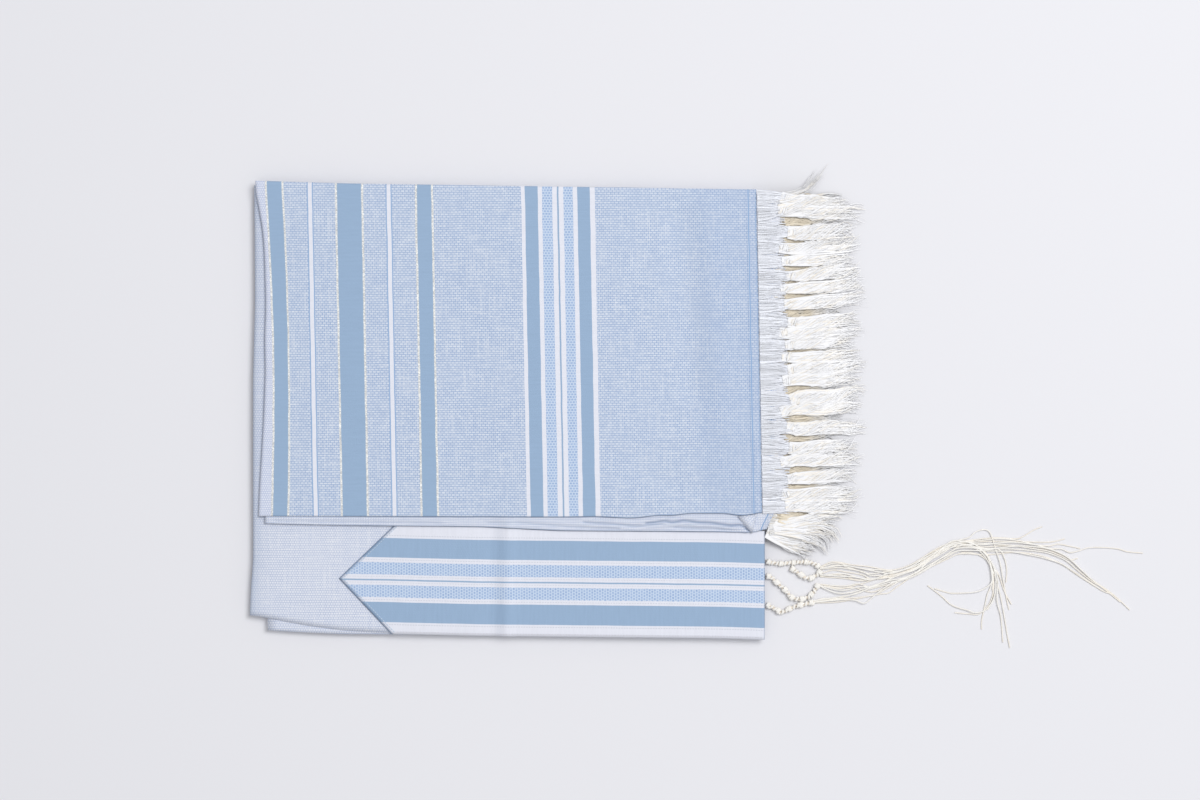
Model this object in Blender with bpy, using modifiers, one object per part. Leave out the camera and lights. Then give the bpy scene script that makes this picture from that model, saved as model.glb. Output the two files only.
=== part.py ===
"""A tallit, the fringed prayer shawl, folded flat: thirds across its width, quarters along its length.

The shawl lies on a table with its neckband up. +X runs towards the fringe, +Y away from the neck
edge, +Z up, and the origin is under the middle of the cloth, on the table. Lengths are in
millimetres here, and MM turns them into metres.
"""

import math

import bpy
import numpy as np

MM = 0.001

# ---- driving dimensions -------------------------------------------------------------------------

NECKBAND_HALF = 358.7
CLOTH = 1.2
NECKBAND_CLOTH = 1.0
GAP = 0.3

RIGHT_FOLD = 173.0
HEM_LINE = RIGHT_FOLD - 2.5
NECK_CORNER = -201.2
FRINGE_TIP = 261.4
TASSEL_SWING = 201.2

# Heights of the layers' upper faces, from the table up.
CORE_TOP = 5.4
UNDER_TOP = CORE_TOP + GAP + CLOTH
NECK_TOP = UNDER_TOP + GAP + CLOTH
NECKBAND_TOP = NECK_TOP + GAP + NECKBAND_CLOTH
UNDERFOLD_TOP = NECKBAND_TOP + GAP + CLOTH
END_TOP = UNDERFOLD_TOP + GAP + CLOTH

FOLD_RADIUS = 2.6
PUFF = 0.6
FRINGE_HEM = 1.1
FRINGE_BODY = 4.0
WRAP_DIAMETER = 3.6
STRING_DIAMETER = 1.0

# ---- edges of the panels ------------------------------------------------------------------------
# Each row is (place along the edge, edge's own coordinate): y, x for a side and x, y for an end.

END_LEFT = [(-97, -253.4), (-71, -252.3), (-37, -250.2), (-16, -249.0), (26, -247.5), (51, -248.1),
            (81, -247.2), (110, -248.1), (143, -249.7), (153, -253.9), (178, -255.6)]
END_RIGHT = [(-97, HEM_LINE), (178, HEM_LINE - 5)]
END_BOTTOM = [(-254, -96.9), (0, -97.8), (32, -97.3), (61, -98.9), (83, -96.2), (95, -96.7),
              (107, -94.7), (142, -94.7), (150, -96.8), (160, -96.0), (171, -93.5)]
END_TOP_EDGE = [(-256, 185.5), (-181, 183.2), (-33, 181.0), (166, 178.1)]

NECK_LEFT = [(-184, -261.4), (-159, -260.3), (-134, -258.5), (18, -258.5), (85, -256.8), (183, -257.5)]
NECK_RIGHT = [(-201, RIGHT_FOLD - 1.8), (178, RIGHT_FOLD - 1.8)]
NECK_BOTTOM = [(-261, -180.5), (-248, -182.3), (-229, -186.1), (-208, -189.7), (-181, -193.2),
               (-142, -195.2), (-67, -196.9), (135, -199.0), (173, -200.2)]
NECK_TOP_EDGE = [(-258, 182.0), (-181, 179.7), (-33, 177.5), (172, 174.6)]

UNDER_LEFT = [(-196, -246.0), (180, -252.0)]
UNDER_RIGHT = [(-196, RIGHT_FOLD - 6), (180, RIGHT_FOLD - 6)]
UNDER_BOTTOM = [(-247, -193.2), (-214, -195.3), (-181, -196.6), (-142, -196.9), (173, -198.9)]
UNDER_TOP_EDGE = [(-252, 176.0), (173, 169.0)]

UNDERFOLD_LEFT = [(-103, -248.0), (-16, -244.5), (110, -243.5), (180, -249.0)]
UNDERFOLD_RIGHT = [(-107, 174.5), (-93, 181.4), (178, 184.0)]
UNDERFOLD_BOTTOM = [(-248, -103.1), (-193, -104.4), (-139, -105.2), (-67, -105.9), (0, -109.2),
                    (68, -109.7), (135, -110.1), (163, -111.0), (175, -107.5)]
UNDERFOLD_TOP_EDGE = [(-252, 181.0), (-181, 179.0), (-33, 177.0), (184, 173.5)]

BAND_TOP_EDGE = [(-187, -104.5), (-67, -106.1), (0, -109.5), (135, -110.3), (173, -109.5)]
BAND_BOTTOM = [(-187, -195.4), (-142, -196.2), (-67, -197.9), (135, -200.0), (173, NECK_CORNER)]
BAND_TIP_X = RIGHT_FOLD - NECKBAND_HALF
BAND_TIP_Y = -149.4
BAND_SHOULDER_X = BAND_TIP_X + 45.0
BAND_LEFT = [(-196, BAND_SHOULDER_X - 1.2), (BAND_TIP_Y, BAND_TIP_X), (-105, BAND_SHOULDER_X + 1.2)]
BAND_RIGHT = [(-201, RIGHT_FOLD), (-109, RIGHT_FOLD)]

END_FRINGE_LEFT = [(-97, HEM_LINE + 0.8), (178, HEM_LINE - 4.2)]
END_FRINGE_TIPS = [(-99, 245), (-60, 254), (-20, 252), (30, 258), (70, 252), (110, 257),
                   (150, FRINGE_TIP), (165, 252), (180, 233), (TASSEL_SWING, 229)]
END_FRINGE_BOTTOM = [(171, -92), (200, -96), (250, -98)]
END_FRINGE_TOP_EDGE = [(166, 177), (195, 179), (215, 190), (229, TASSEL_SWING), (261, TASSEL_SWING - 4)]

UNDERFOLD_FRINGE_LEFT = [(-106, 175.5), (-93, 182.2), (172, 184.8)]
UNDERFOLD_FRINGE_TIPS = [(-131, 232), (-105, 244), (0, 240), (172, 238)]
UNDERFOLD_FRINGE_BOTTOM = [(176, -106), (200, -122), (232, -131), (245, -131)]
UNDERFOLD_FRINGE_TOP_EDGE = [(184, 171), (245, 172)]

# ---- relief -------------------------------------------------------------------------------------
# Soft ridges and troughs that every layer above the core shares, so that the gaps between them stay.
# name, start x, start y, end x, end y, half width, height

FOLDS = [
    ("long trough by the hem", 112, 150, 119, 0, 26, -0.45),
    ("trough by the lower hem", 70, -60, 138, -88, 24, -0.35),
    ("ridge beside the stripes", 45, 170, 52, -20, 30, 0.35),
    ("rise of the neckband", -38, -112, -30, -196, 26, 0.35),
    ("left swell", -205, 120, -200, -60, 45, 0.3),
]

# Creases of the turned strip only: x, y along it, half width, height.
STRIP_CREASES = [(25, -103, 10, 0.5), (70, -104, 14, 0.8), (110, -101, 12, 0.9), (150, -103, 10, 0.8)]

# ---- folded edges of the hidden layers ----------------------------------------------------------
# height of the bulge's middle, and how far each side stands out: left, right, bottom, top

CORE_LAYERS = [
    (0.7, -256.0, 170.0, -194.5, 176.5),
    (2.0, -258.5, 171.5, -196.5, 178.0),
    (3.3, -255.5, 170.5, -195.0, 175.5),
    (4.6, -257.0, 171.8, -197.0, 177.0),
]
CORE_CORNER = 7.0
CORE_NOTCH = 1.1

# ---- cords --------------------------------------------------------------------------------------
# Routes on the table, x and y by hand. The wound stretches come out from under the neckband's end.

WRAP_ROUTES = {
    "tzitzit_wrap_1": [(174.6, -135.2), (178.0, -136.3), (183.0, -137.2), (189.0, -137.3), (195.0, -136.7),
                       (201.0, -136.2), (207.0, -135.9), (212.0, -136.6), (216.5, -138.4), (219.4, -140.2)],
    "tzitzit_wrap_2": [(195.2, -141.0), (199.8, -144.0), (203.0, -146.0), (206.0, -148.3), (209.2, -150.0),
                       (212.8, -149.6), (216.0, -147.7), (219.0, -145.6), (220.6, -143.2)],
    "tzitzit_wrap_3": [(174.6, -147.8), (178.5, -148.9), (182.4, -152.6), (187.3, -156.8), (191.6, -160.9),
                       (195.2, -165.4), (199.6, -167.3), (205.0, -167.3), (209.6, -166.0), (213.4, -162.8),
                       (216.4, -158.6), (218.6, -154.6)],
    "tzitzit_wrap_4": [(174.6, -172.0), (180.4, -174.8), (184.6, -177.4), (188.4, -178.4), (192.2, -176.4),
                       (197.0, -174.4), (202.0, -172.8), (207.4, -171.6), (214.6, -170.0)],
}
WRAP_HEIGHT = WRAP_DIAMETER / 2 + 0.1

# Bunches of loose strings: x, y, half width, height of each section.
STRING_BUNCHES = {
    "tzitzit_strings_main": [
        (222.8, -153.2, 14.0, 3.0), (236.2, -151.6, 15.2, 2.6), (248.8, -152.4, 14.3, 2.6),
        (263.1, -151.6, 11.4, 3.0), (277.4, -149.0, 8.0, 3.2), (286.7, -147.4, 6.0, 3.4),
        (299.3, -143.0, 6.0, 3.4), (312.0, -135.6, 6.6, 3.2), (324.6, -128.4, 7.0, 3.2),
        (334.7, -123.8, 6.8, 3.2), (345.6, -123.0, 7.0, 3.2), (358.3, -123.2, 8.0, 3.0),
        (370.9, -122.6, 8.2, 2.8), (385.2, -122.9, 7.4, 2.6), (400.4, -125.0, 7.0, 2.6),
        (413.0, -127.7, 7.0, 2.4), (427.3, -134.0, 6.4, 2.4), (439.1, -143.6, 4.8, 2.2),
        (451.4, -153.2, 3.2, 2.0), (467.6, -163.7, 1.8, 1.8), (482.0, -177.0, 1.0, 1.4),
    ],
    "tzitzit_strings_fallen": [
        (368.0, -134.6, 7.0, 2.4), (370.9, -146.5, 7.2, 2.6), (369.3, -159.1, 8.0, 2.6),
        (370.5, -171.8, 11.0, 2.4), (367.2, -182.7, 10.4, 2.2), (367.8, -192.8, 10.6, 1.8),
        (377.2, -203.8, 3.6, 1.4), (380.8, -209.2, 1.0, 1.2),
    ],
}

# Single strings that part from their bunch, x and y by hand.
STRING_ROUTES = {
    "tzitzit_string_curl_high": [(359.6, -157.6), (354.0, -160.5), (348.7, -161.7), (341.0, -162.5),
                                 (333.0, -162.5), (327.0, -161.7), (319.4, -159.5)],
    "tzitzit_string_curl_low": [(355.6, -177.6), (351.0, -179.0), (345.6, -176.9), (336.4, -174.6),
                                (330.2, -171.6), (324.0, -165.9), (317.0, -160.6), (311.1, -156.1)],
    "tzitzit_string_right": [(429.4, -125.8), (434.0, -127.6), (439.4, -126.6), (446.7, -123.8),
                             (459.3, -123.8), (471.6, -125.0), (479.5, -127.4), (493.4, -128.6)],
    "tzitzit_string_up": [(393.9, -113.0), (398.0, -110.2), (401.2, -108.9), (408.0, -106.3)],
    "tzitzit_string_loop": [(346.6, -114.4), (351.1, -111.1), (355.0, -109.0), (359.1, -108.4),
                            (363.3, -110.0), (364.6, -112.6)],
}
STRING_HEIGHT = STRING_DIAMETER / 2 + 0.1

# name: colour, roughness
COLOURS = {
    "shawl_face": ((0.49, 0.61, 0.80), 0.82),
    "shawl_reverse": ((0.63, 0.67, 0.80), 0.85),
    "neckband_weave": ((0.40, 0.52, 0.70), 0.62),
    "fringe_yarn": ((0.88, 0.88, 0.90), 0.9),
    "tzitzit_yarn": ((0.86, 0.83, 0.76), 0.88),
}


# ---- helpers ------------------------------------------------------------------------------------


def clear_scene():
    for old in list(bpy.data.objects):
        bpy.data.objects.remove(old, do_unlink=True)


def collection(name):
    group = bpy.data.collections.new(name)
    bpy.context.scene.collection.children.link(group)
    return group


def material(name):
    """One plain Principled material for each finish, made once."""
    if name in bpy.data.materials:
        return bpy.data.materials[name]
    colour, roughness = COLOURS[name]
    made = bpy.data.materials.new(name)
    made.use_nodes = True
    shader = made.node_tree.nodes["Principled BSDF"]
    shader.inputs["Base Color"].default_value = (*colour, 1)
    shader.inputs["Roughness"].default_value = roughness
    shader.inputs["Metallic"].default_value = 0
    return made


def add_mesh(group, name, points, faces, finish):
    """A mesh object from points in millimetres."""
    mesh = bpy.data.meshes.new(name)
    mesh.from_pydata([(x * MM, y * MM, z * MM) for x, y, z in points], [], faces)
    mesh.materials.append(material(finish))
    mesh.update()
    mesh.shade_smooth()
    made = bpy.data.objects.new(name, mesh)
    group.objects.link(made)
    return made


def along(edge, place):
    """The edge's coordinate at a place along it."""
    places, values = zip(*edge)
    return float(np.interp(place, places, values))


def segment_distance(x, y, x0, y0, x1, y1):
    """Distance from a point to a stretch of straight line."""
    run = np.array([x1 - x0, y1 - y0], float)
    share = np.clip(((x - x0) * run[0] + (y - y0) * run[1]) / (run @ run), 0, 1)
    return math.hypot(x - x0 - share * run[0], y - y0 - share * run[1])


def relief(x, y):
    """How far the cloth above the core stands up over its flat height."""
    height = PUFF
    for _name, x0, y0, x1, y1, half_width, rise in FOLDS:
        height += rise * math.exp(-((segment_distance(x, y, x0, y0, x1, y1) / half_width) ** 2))
    return height


def strip_relief(x, y):
    """Relief of the turned strip: the shared one, with its own creases added."""
    height = relief(x, y)
    for at_x, at_y, half_width, rise in STRIP_CREASES:
        beyond = max(0.0, min(1.0, (-98.5 - y) / 3.0))
        height += beyond * rise * math.exp(-(((x - at_x) / half_width) ** 2) - ((y - at_y) / 4.0) ** 2)
    return height


def fold_drop(distance):
    """How far a rounded fold has dropped at this distance from its outer edge."""
    if distance >= FOLD_RADIUS:
        return 0.0
    return FOLD_RADIUS - math.sqrt(max(0.0, FOLD_RADIUS**2 - (FOLD_RADIUS - distance) ** 2))


def stations(count, first_folded, last_folded, span):
    """Places from 0 to 1 along a side, closer together where the cloth folds over."""
    near = [0.0, 0.15 * FOLD_RADIUS / span, 0.5 * FOLD_RADIUS / span]
    start = near if first_folded else [0.0]
    finish = [1 - place for place in reversed(near)] if last_folded else [1.0]
    inner_start = FOLD_RADIUS / span if first_folded else 1 / count
    inner_end = 1 - FOLD_RADIUS / span if last_folded else 1 - 1 / count
    return start + list(np.linspace(inner_start, inner_end, count)) + finish


def patch(edges, columns, rows, folded, height):
    """Rows of points over a four-edged patch of cloth.

    edges holds left, right, bottom and top, folded says which of them roll down, and height gives
    the upper face at a place.
    """
    left, right, bottom, top = edges
    low = np.mean([y for _x, y in bottom])
    high = np.mean([y for _x, y in top])
    width = along(right, low) - along(left, low)
    across = stations(columns, "left" in folded, "right" in folded, width)
    upward = stations(rows, "bottom" in folded, "top" in folded, high - low)
    grid = []
    for rise in upward:
        line = []
        for run in across:
            y_first = low + (high - low) * rise
            x = along(left, y_first) + (along(right, y_first) - along(left, y_first)) * run
            y = along(bottom, x) + (along(top, x) - along(bottom, x)) * rise
            x = along(left, y) + (along(right, y) - along(left, y)) * run
            reach = {
                "left": x - along(left, y),
                "right": along(right, y) - x,
                "bottom": y - along(bottom, x),
                "top": along(top, x) - y,
            }
            drop = max([fold_drop(max(0.0, reach[side])) for side in folded], default=0.0)
            line.append((x, y, height(x, y) - drop))
        grid.append(line)
    return grid


def grid_faces(columns, rows, first=0):
    """Quads over a grid of points, facing up."""
    faces = []
    for row in range(rows - 1):
        for column in range(columns - 1):
            corner = first + row * columns + column
            faces.append((corner, corner + 1, corner + columns + 1, corner + columns))
    return faces


def wall(group, name, grid, thickness, finish):
    """A sheet of cloth: the upper face is the grid, and Solidify gives it its thickness below."""
    points = [point for line in grid for point in line]
    made = add_mesh(group, name, points, grid_faces(len(grid[0]), len(grid)), finish)
    thicken = made.modifiers.new("thickness", "SOLIDIFY")
    thicken.thickness = thickness * MM
    thicken.offset = -1
    thicken.use_even_offset = False
    return made


def slab(group, name, upper, lower, finish):
    """A closed solid between two grids of the same size, lofted because its thickness changes."""
    columns, rows = len(upper[0]), len(upper)
    count = columns * rows
    points = [point for line in upper for point in line] + [point for line in lower for point in line]
    faces = grid_faces(columns, rows)
    faces += [tuple(reversed(face)) for face in grid_faces(columns, rows, count)]
    rim = [column for column in range(columns)]
    rim += [row * columns + columns - 1 for row in range(1, rows)]
    rim += [(rows - 1) * columns + column for column in range(columns - 2, -1, -1)]
    rim += [row * columns for row in range(rows - 2, 0, -1)]
    for here, after in zip(rim, rim[1:] + rim[:1]):
        faces.append((here, here + count, after + count, after))
    return add_mesh(group, name, points, faces, finish)


def loft(group, name, rings, finish):
    """A closed solid through rings of points, with its two ends filled flat."""
    size = len(rings[0])
    points = [point for ring in rings for point in ring]
    faces = [tuple(reversed(range(size)))]
    for number in range(len(rings) - 1):
        for corner in range(size):
            here, after = number * size + corner, number * size + (corner + 1) % size
            faces.append((here, after, after + size, here + size))
    faces.append(tuple(range(len(points) - size, len(points))))
    return add_mesh(group, name, points, faces, finish)


def smooth_route(route, spacing):
    """Points about a spacing apart on one smooth curve through the route's own points."""
    points = np.array(route, float)
    padded = np.vstack([2 * points[0] - points[1], points, 2 * points[-1] - points[-2]])
    fine = []
    for before, start, end, after in zip(padded, padded[1:], padded[2:], padded[3:]):
        for share in np.linspace(0, 1, 12, endpoint=False):
            pull = np.array([
                -share + 2 * share**2 - share**3,
                2 - 5 * share**2 + 3 * share**3,
                share + 4 * share**2 - 3 * share**3,
                share**3 - share**2,
            ])
            fine.append(0.5 * pull @ np.array([before, start, end, after]))
    fine = np.array(fine + [points[-1]])
    travelled = np.concatenate([[0], np.cumsum(np.linalg.norm(np.diff(fine, axis=0), axis=1))])
    wanted = np.linspace(0, travelled[-1], max(4, round(travelled[-1] / spacing) + 1))
    return [tuple(np.interp(wanted, travelled, fine[:, axis])[number] for axis in range(points.shape[1]))
            for number in range(len(wanted))]


def tube(group, name, route, height, diameter, finish):
    """A cord lying on the table: a round tube along a smooth curve."""
    curve = bpy.data.curves.new(name, "CURVE")
    curve.dimensions = "3D"
    curve.bevel_depth = diameter / 2 * MM
    curve.bevel_resolution = 2
    curve.use_fill_caps = True
    points = smooth_route(route, 2 * diameter)
    spline = curve.splines.new("POLY")
    spline.points.add(len(points) - 1)
    for place, (x, y) in zip(spline.points, points):
        place.co = (x * MM, y * MM, height * MM, 1)
    curve.materials.append(material(finish))
    made = bpy.data.objects.new(name, curve)
    group.objects.link(made)
    weld = made.modifiers.new("weld caps", "WELD")
    weld.merge_threshold = 0.00001
    return made


# ---- the shawl's pieces -------------------------------------------------------------------------


def core_ring(left, right, bottom, top, height):
    """A rounded rectangle at one height, anticlockwise from above."""
    ring = []
    corners = [(right, top, 0), (left, top, 90), (left, bottom, 180), (right, bottom, 270)]
    for x, y, start in corners:
        centre_x = x - CORE_CORNER * (1 if x == right else -1)
        centre_y = y - CORE_CORNER * (1 if y == top else -1)
        for turn in range(0, 91, 30):
            angle = math.radians(start + turn)
            ring.append((centre_x + CORE_CORNER * math.cos(angle),
                         centre_y + CORE_CORNER * math.sin(angle), height))
    return ring


def make_folded_layers(group):
    """The hidden layers: one solid, flat below, whose sides bulge at each fold and dip between."""
    half = (CORE_LAYERS[1][0] - CORE_LAYERS[0][0]) / 2
    rings = []
    for number, (middle, left, right, bottom, top) in enumerate(CORE_LAYERS):
        inset = CORE_NOTCH if number else CORE_NOTCH * 0.6
        lowest = 0.0 if number == 0 else middle - half
        rings.append(core_ring(left + inset, right - inset, bottom + inset, top - inset, lowest))
        rings.append(core_ring(left, right, bottom, top, middle))
    _middle, left, right, bottom, top = CORE_LAYERS[-1]
    rings.append(core_ring(left + CORE_NOTCH, right - CORE_NOTCH, bottom + CORE_NOTCH, top - CORE_NOTCH,
                           CORE_TOP))
    return loft(group, "folded_layers", rings, "shawl_reverse")


def make_panels(group):
    """The layers that show, each a wall of cloth over the one below."""
    under = patch((UNDER_LEFT, UNDER_RIGHT, UNDER_BOTTOM, UNDER_TOP_EDGE), 12, 9, (),
                  lambda x, y: UNDER_TOP + relief(x, y))
    wall(group, "under_layer", under, CLOTH, "shawl_reverse")
    neck = patch((NECK_LEFT, NECK_RIGHT, NECK_BOTTOM, NECK_TOP_EDGE), 18, 13, ("left", "right", "top"),
                 lambda x, y: NECK_TOP + relief(x, y))
    wall(group, "neck_panel", neck, CLOTH, "shawl_reverse")
    underfold = patch((UNDERFOLD_LEFT, UNDERFOLD_RIGHT, UNDERFOLD_BOTTOM, UNDERFOLD_TOP_EDGE), 20, 14, (),
                      lambda x, y: UNDERFOLD_TOP + strip_relief(x, y))
    wall(group, "underfold", underfold, CLOTH, "shawl_reverse")
    end = patch((END_LEFT, END_RIGHT, END_BOTTOM, END_TOP_EDGE), 22, 14, ("left", "top"),
                lambda x, y: END_TOP + relief(x, y))
    wall(group, "end_panel", end, CLOTH, "shawl_face")


def make_neckband(group):
    """The neckband lies on the neck panel and turns down with it over the middle fold."""
    band = patch((BAND_LEFT, BAND_RIGHT, BAND_BOTTOM, BAND_TOP_EDGE), 20, 5, ("right",),
                 lambda x, y: NECKBAND_TOP + relief(x, y))
    wall(group, "neckband", band, NECKBAND_CLOTH, "neckband_weave")


def ramp(x, start, end, high, low):
    """A soft slope from one height to another."""
    share = max(0.0, min(1.0, (x - start) / (end - start)))
    return high + (low - high) * share * share * (3 - 2 * share)


def make_fringes(group):
    """Plain solids of the two fringes' reach, sloping from the hem down to the table."""
    def upper_top(x, _y):
        return ramp(x, 188, 222, END_TOP + PUFF, 8.8) - ramp(x, 222, 262, 0.0, 3.2)

    def upper_bottom(x, y):
        return upper_top(x, y) - ramp(x, 186, 205, FRINGE_HEM, FRINGE_BODY)

    def lower_top(x, _y):
        return ramp(x, 184, 206, UNDERFOLD_TOP + PUFF, 4.2) - ramp(x, 208, 240, 0.0, 1.9)

    def lower_bottom(x, y):
        return max(0.2, lower_top(x, y) - ramp(x, 184, 205, FRINGE_HEM, FRINGE_BODY))

    for name, edges, top, bottom in (
        ("end_fringe", (END_FRINGE_LEFT, END_FRINGE_TIPS, END_FRINGE_BOTTOM, END_FRINGE_TOP_EDGE),
         upper_top, upper_bottom),
        ("underfold_fringe", (UNDERFOLD_FRINGE_LEFT, UNDERFOLD_FRINGE_TIPS, UNDERFOLD_FRINGE_BOTTOM,
                              UNDERFOLD_FRINGE_TOP_EDGE), lower_top, lower_bottom),
    ):
        slab(group, name, patch(edges, 8, 12, (), top), patch(edges, 8, 12, (), bottom), "fringe_yarn")


def make_wrapped_cords(group):
    for name, route in WRAP_ROUTES.items():
        tube(group, name, route, WRAP_HEIGHT, WRAP_DIAMETER, "tzitzit_yarn")


def make_string_bunches(group):
    """Where many strings lie together they share one flattened solid of the bunch's outer shape."""
    sides = 10
    for name, rows in STRING_BUNCHES.items():
        table = np.array(rows, float)
        heading = np.gradient(table[:, :2], axis=0)
        heading /= np.linalg.norm(heading, axis=1)[:, None]
        rings = []
        for (x, y, half_width, height), (run_x, run_y) in zip(table, heading):
            ring = []
            for number in range(sides):
                angle = math.tau * number / sides
                out = half_width * math.cos(angle)
                up = height / 2 * (1 + math.sin(angle)) + 0.1
                ring.append((x - run_y * out, y + run_x * out, up))
            rings.append(ring)
        loft(group, name, rings, "tzitzit_yarn")


def make_single_strings(group):
    for name, route in STRING_ROUTES.items():
        tube(group, name, route, STRING_HEIGHT, STRING_DIAMETER, "tzitzit_yarn")


def main():
    clear_scene()
    shawl = collection("tallit")
    make_folded_layers(shawl)
    make_panels(shawl)
    make_neckband(shawl)
    make_fringes(shawl)
    make_wrapped_cords(shawl)
    make_string_bunches(shawl)
    make_single_strings(shawl)
    bpy.context.view_layer.update()


main()
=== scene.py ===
# %% [markdown]
# # A tallit, folded flat
# A tallit is a prayer shawl: one length of wool cloth with stripes woven in near its ends, a knotted
# fringe along both ends, a striped neckband sewn to the neck edge, and long wound cords, the tzitzit,
# at its corners. Here it lies folded in thirds and then in quarters, as it is kept in its bag.
# Each cell below makes one piece or one finish, and says how.

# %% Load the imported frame
import math
import random

import bpy
import numpy as np
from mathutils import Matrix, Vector


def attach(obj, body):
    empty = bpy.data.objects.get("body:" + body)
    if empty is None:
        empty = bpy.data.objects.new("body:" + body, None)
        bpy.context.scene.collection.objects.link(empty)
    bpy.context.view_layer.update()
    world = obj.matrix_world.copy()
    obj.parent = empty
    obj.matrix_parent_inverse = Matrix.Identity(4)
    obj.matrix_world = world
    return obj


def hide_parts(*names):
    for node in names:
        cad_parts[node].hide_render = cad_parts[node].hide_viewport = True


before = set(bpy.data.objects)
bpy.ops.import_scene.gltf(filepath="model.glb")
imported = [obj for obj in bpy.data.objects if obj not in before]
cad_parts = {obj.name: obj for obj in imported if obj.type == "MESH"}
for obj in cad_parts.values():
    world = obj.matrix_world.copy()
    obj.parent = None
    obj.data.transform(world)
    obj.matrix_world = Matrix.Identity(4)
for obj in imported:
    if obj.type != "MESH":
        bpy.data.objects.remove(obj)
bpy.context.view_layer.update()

MM = 0.001
scene = bpy.context.scene

# %% [markdown]
# ## Camera
# The shawl is looked at from straight above, from far enough away that its thickness hardly shows.
# A long lens 2.4 m up takes in one metre of table. A camera with no turn already looks down with
# +Y up the picture, so only its place is set.

# %% The camera above the table
CAMERA_PLACE = (0.0341, 0.0008, 2.41)
FOCAL_LENGTH = 85.5

camera_data = bpy.data.cameras.new("camera above")
camera_data.lens = FOCAL_LENGTH
camera_data.sensor_width = 36.0
camera = bpy.data.objects.new("camera above", camera_data)
camera.location = CAMERA_PLACE
scene.collection.objects.link(camera)
scene.camera = camera
scene.view_settings.view_transform = "Standard"
print("camera height:", CAMERA_PLACE[2], "m")

# %% [markdown]
# ## Two small helpers for node trees
# Materials and Geometry Nodes are both trees of nodes. One helper adds a node with its settings and
# inputs in one go, and a second does a sum. Every tree below is built with them.

# %% Node helpers
def add_node(tree, kind, inputs=None, **settings):
    """A new node, its settings made and its inputs set to values or linked to sockets."""
    made = tree.nodes.new(kind)
    for key, value in settings.items():
        setattr(made, key, value)
    for key, value in (inputs or {}).items():
        if isinstance(value, bpy.types.NodeSocket):
            tree.links.new(value, made.inputs[key])
        else:
            made.inputs[key].default_value = value
    return made


def calc(tree, operation, first, second=None, third=None):
    """The output of one Math node."""
    given = {place: value for place, value in enumerate((first, second, third)) if value is not None}
    return add_node(tree, "ShaderNodeMath", given, operation=operation).outputs[0]


print("node helpers ready")

# %% [markdown]
# ## Yarn
# Fringe and tzitzit are spun from undyed wool. Such yarn is nearly white where light falls on it and
# turns cream, then sand, deep between the strands, since light that bounces among warm fibres comes
# out warmer. The material paints that shade into its colour: it mixes the lit and the shaded tone by
# place along one direction, mostly height, and by a slow noise. A fine noise stretched by the fibres
# gives the bump.

# %% The yarn materials
def yarn_material(name, top, deep, low, high, direction="Z", sheen=0.2, fuzz=0.3,
                  painted_glow=0.0, end_painted_glow=0.0, creamy=0.0):
    """Wool yarn: painted shade, the deep colour, up to the place low along a direction, in metres, and the
    lit top colour from high on.
    """
    made = bpy.data.materials.new(name)
    made.use_nodes = True
    tree = made.node_tree
    shader = tree.nodes["Principled BSDF"]
    place = add_node(tree, "ShaderNodeTexCoord").outputs["Object"]
    along_it = add_node(tree, "ShaderNodeSeparateXYZ", {0: place}).outputs[direction]
    # Painted shade: the deep tone up to low along the direction, as where shade falls, and the lit top tone
    # from high on.
    rise = add_node(tree, "ShaderNodeMapRange", {"Value": along_it, "From Min": low, "From Max": high})
    blotch = add_node(tree, "ShaderNodeTexNoise", {"Vector": place, "Scale": 160.0, "Detail": 3.0})
    share = calc(tree, "ADD", rise.outputs[0], calc(tree, "MULTIPLY_ADD", blotch.outputs[0], 0.9, -0.45))
    if creamy:
        # Three strands in ten are of a creamier wool.
        tone = add_node(tree, "ShaderNodeAttribute", attribute_name="tone").outputs["Fac"]
        share = calc(tree, "SUBTRACT", share,
                     calc(tree, "MULTIPLY", calc(tree, "LESS_THAN", tone, 0.3), creamy))
    share.node.use_clamp = True
    tint = add_node(tree, "ShaderNodeMix", {"Factor": share, 6: (*deep, 1), 7: (*top, 1)},
                    data_type="RGBA")
    tree.links.new(tint.outputs[2], shader.inputs["Base Color"])
    fibre = add_node(tree, "ShaderNodeTexNoise", {"Vector": place, "Scale": 2600.0, "Detail": 2.0})
    relief_node = add_node(tree, "ShaderNodeBump", {"Height": fibre.outputs[0], "Strength": 0.25,
                                                    "Distance": 0.0003})
    # Fuzz round a strand evens out its light and shade, so its normals lean upwards by this share.
    leaning = add_node(tree, "ShaderNodeVectorMath", {0: relief_node.outputs[0], "Scale": 1 - fuzz},
                       operation="SCALE")
    leaning = add_node(tree, "ShaderNodeVectorMath", {0: leaning.outputs[0], 1: (0.0, 0.0, fuzz)},
                       operation="ADD")
    leaning = add_node(tree, "ShaderNodeVectorMath", {0: leaning.outputs[0]}, operation="NORMALIZE")
    tree.links.new(leaning.outputs[0], shader.inputs["Normal"])
    shader.inputs["Roughness"].default_value = 0.9
    shader.inputs["Specular IOR Level"].default_value = 0.2
    shader.inputs["Sheen Weight"].default_value = sheen
    shader.inputs["Sheen Roughness"].default_value = 0.5
    # Real wool passes light from strand to strand. A small painted glow stands in for it, so it is painted
    # light and not a true property of the wool: the strands keep it in any light.
    shader.inputs["Emission Color"].default_value = (0.96, 0.97, 1.0, 1.0)
    shader.inputs["Emission Strength"].default_value = painted_glow
    if end_painted_glow:
        # Past the full part of the tassels the yarns thin out; the painted glow grows there, standing in for
        # light through them.
        far_x = add_node(tree, "ShaderNodeSeparateXYZ", {0: place}).outputs["X"]
        thin = add_node(tree, "ShaderNodeMapRange", {"Value": far_x, "From Min": 0.216, "From Max": 0.252,
                                                     "To Min": painted_glow, "To Max": end_painted_glow})
        tree.links.new(thin.outputs[0], shader.inputs["Emission Strength"])
    return made


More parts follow.
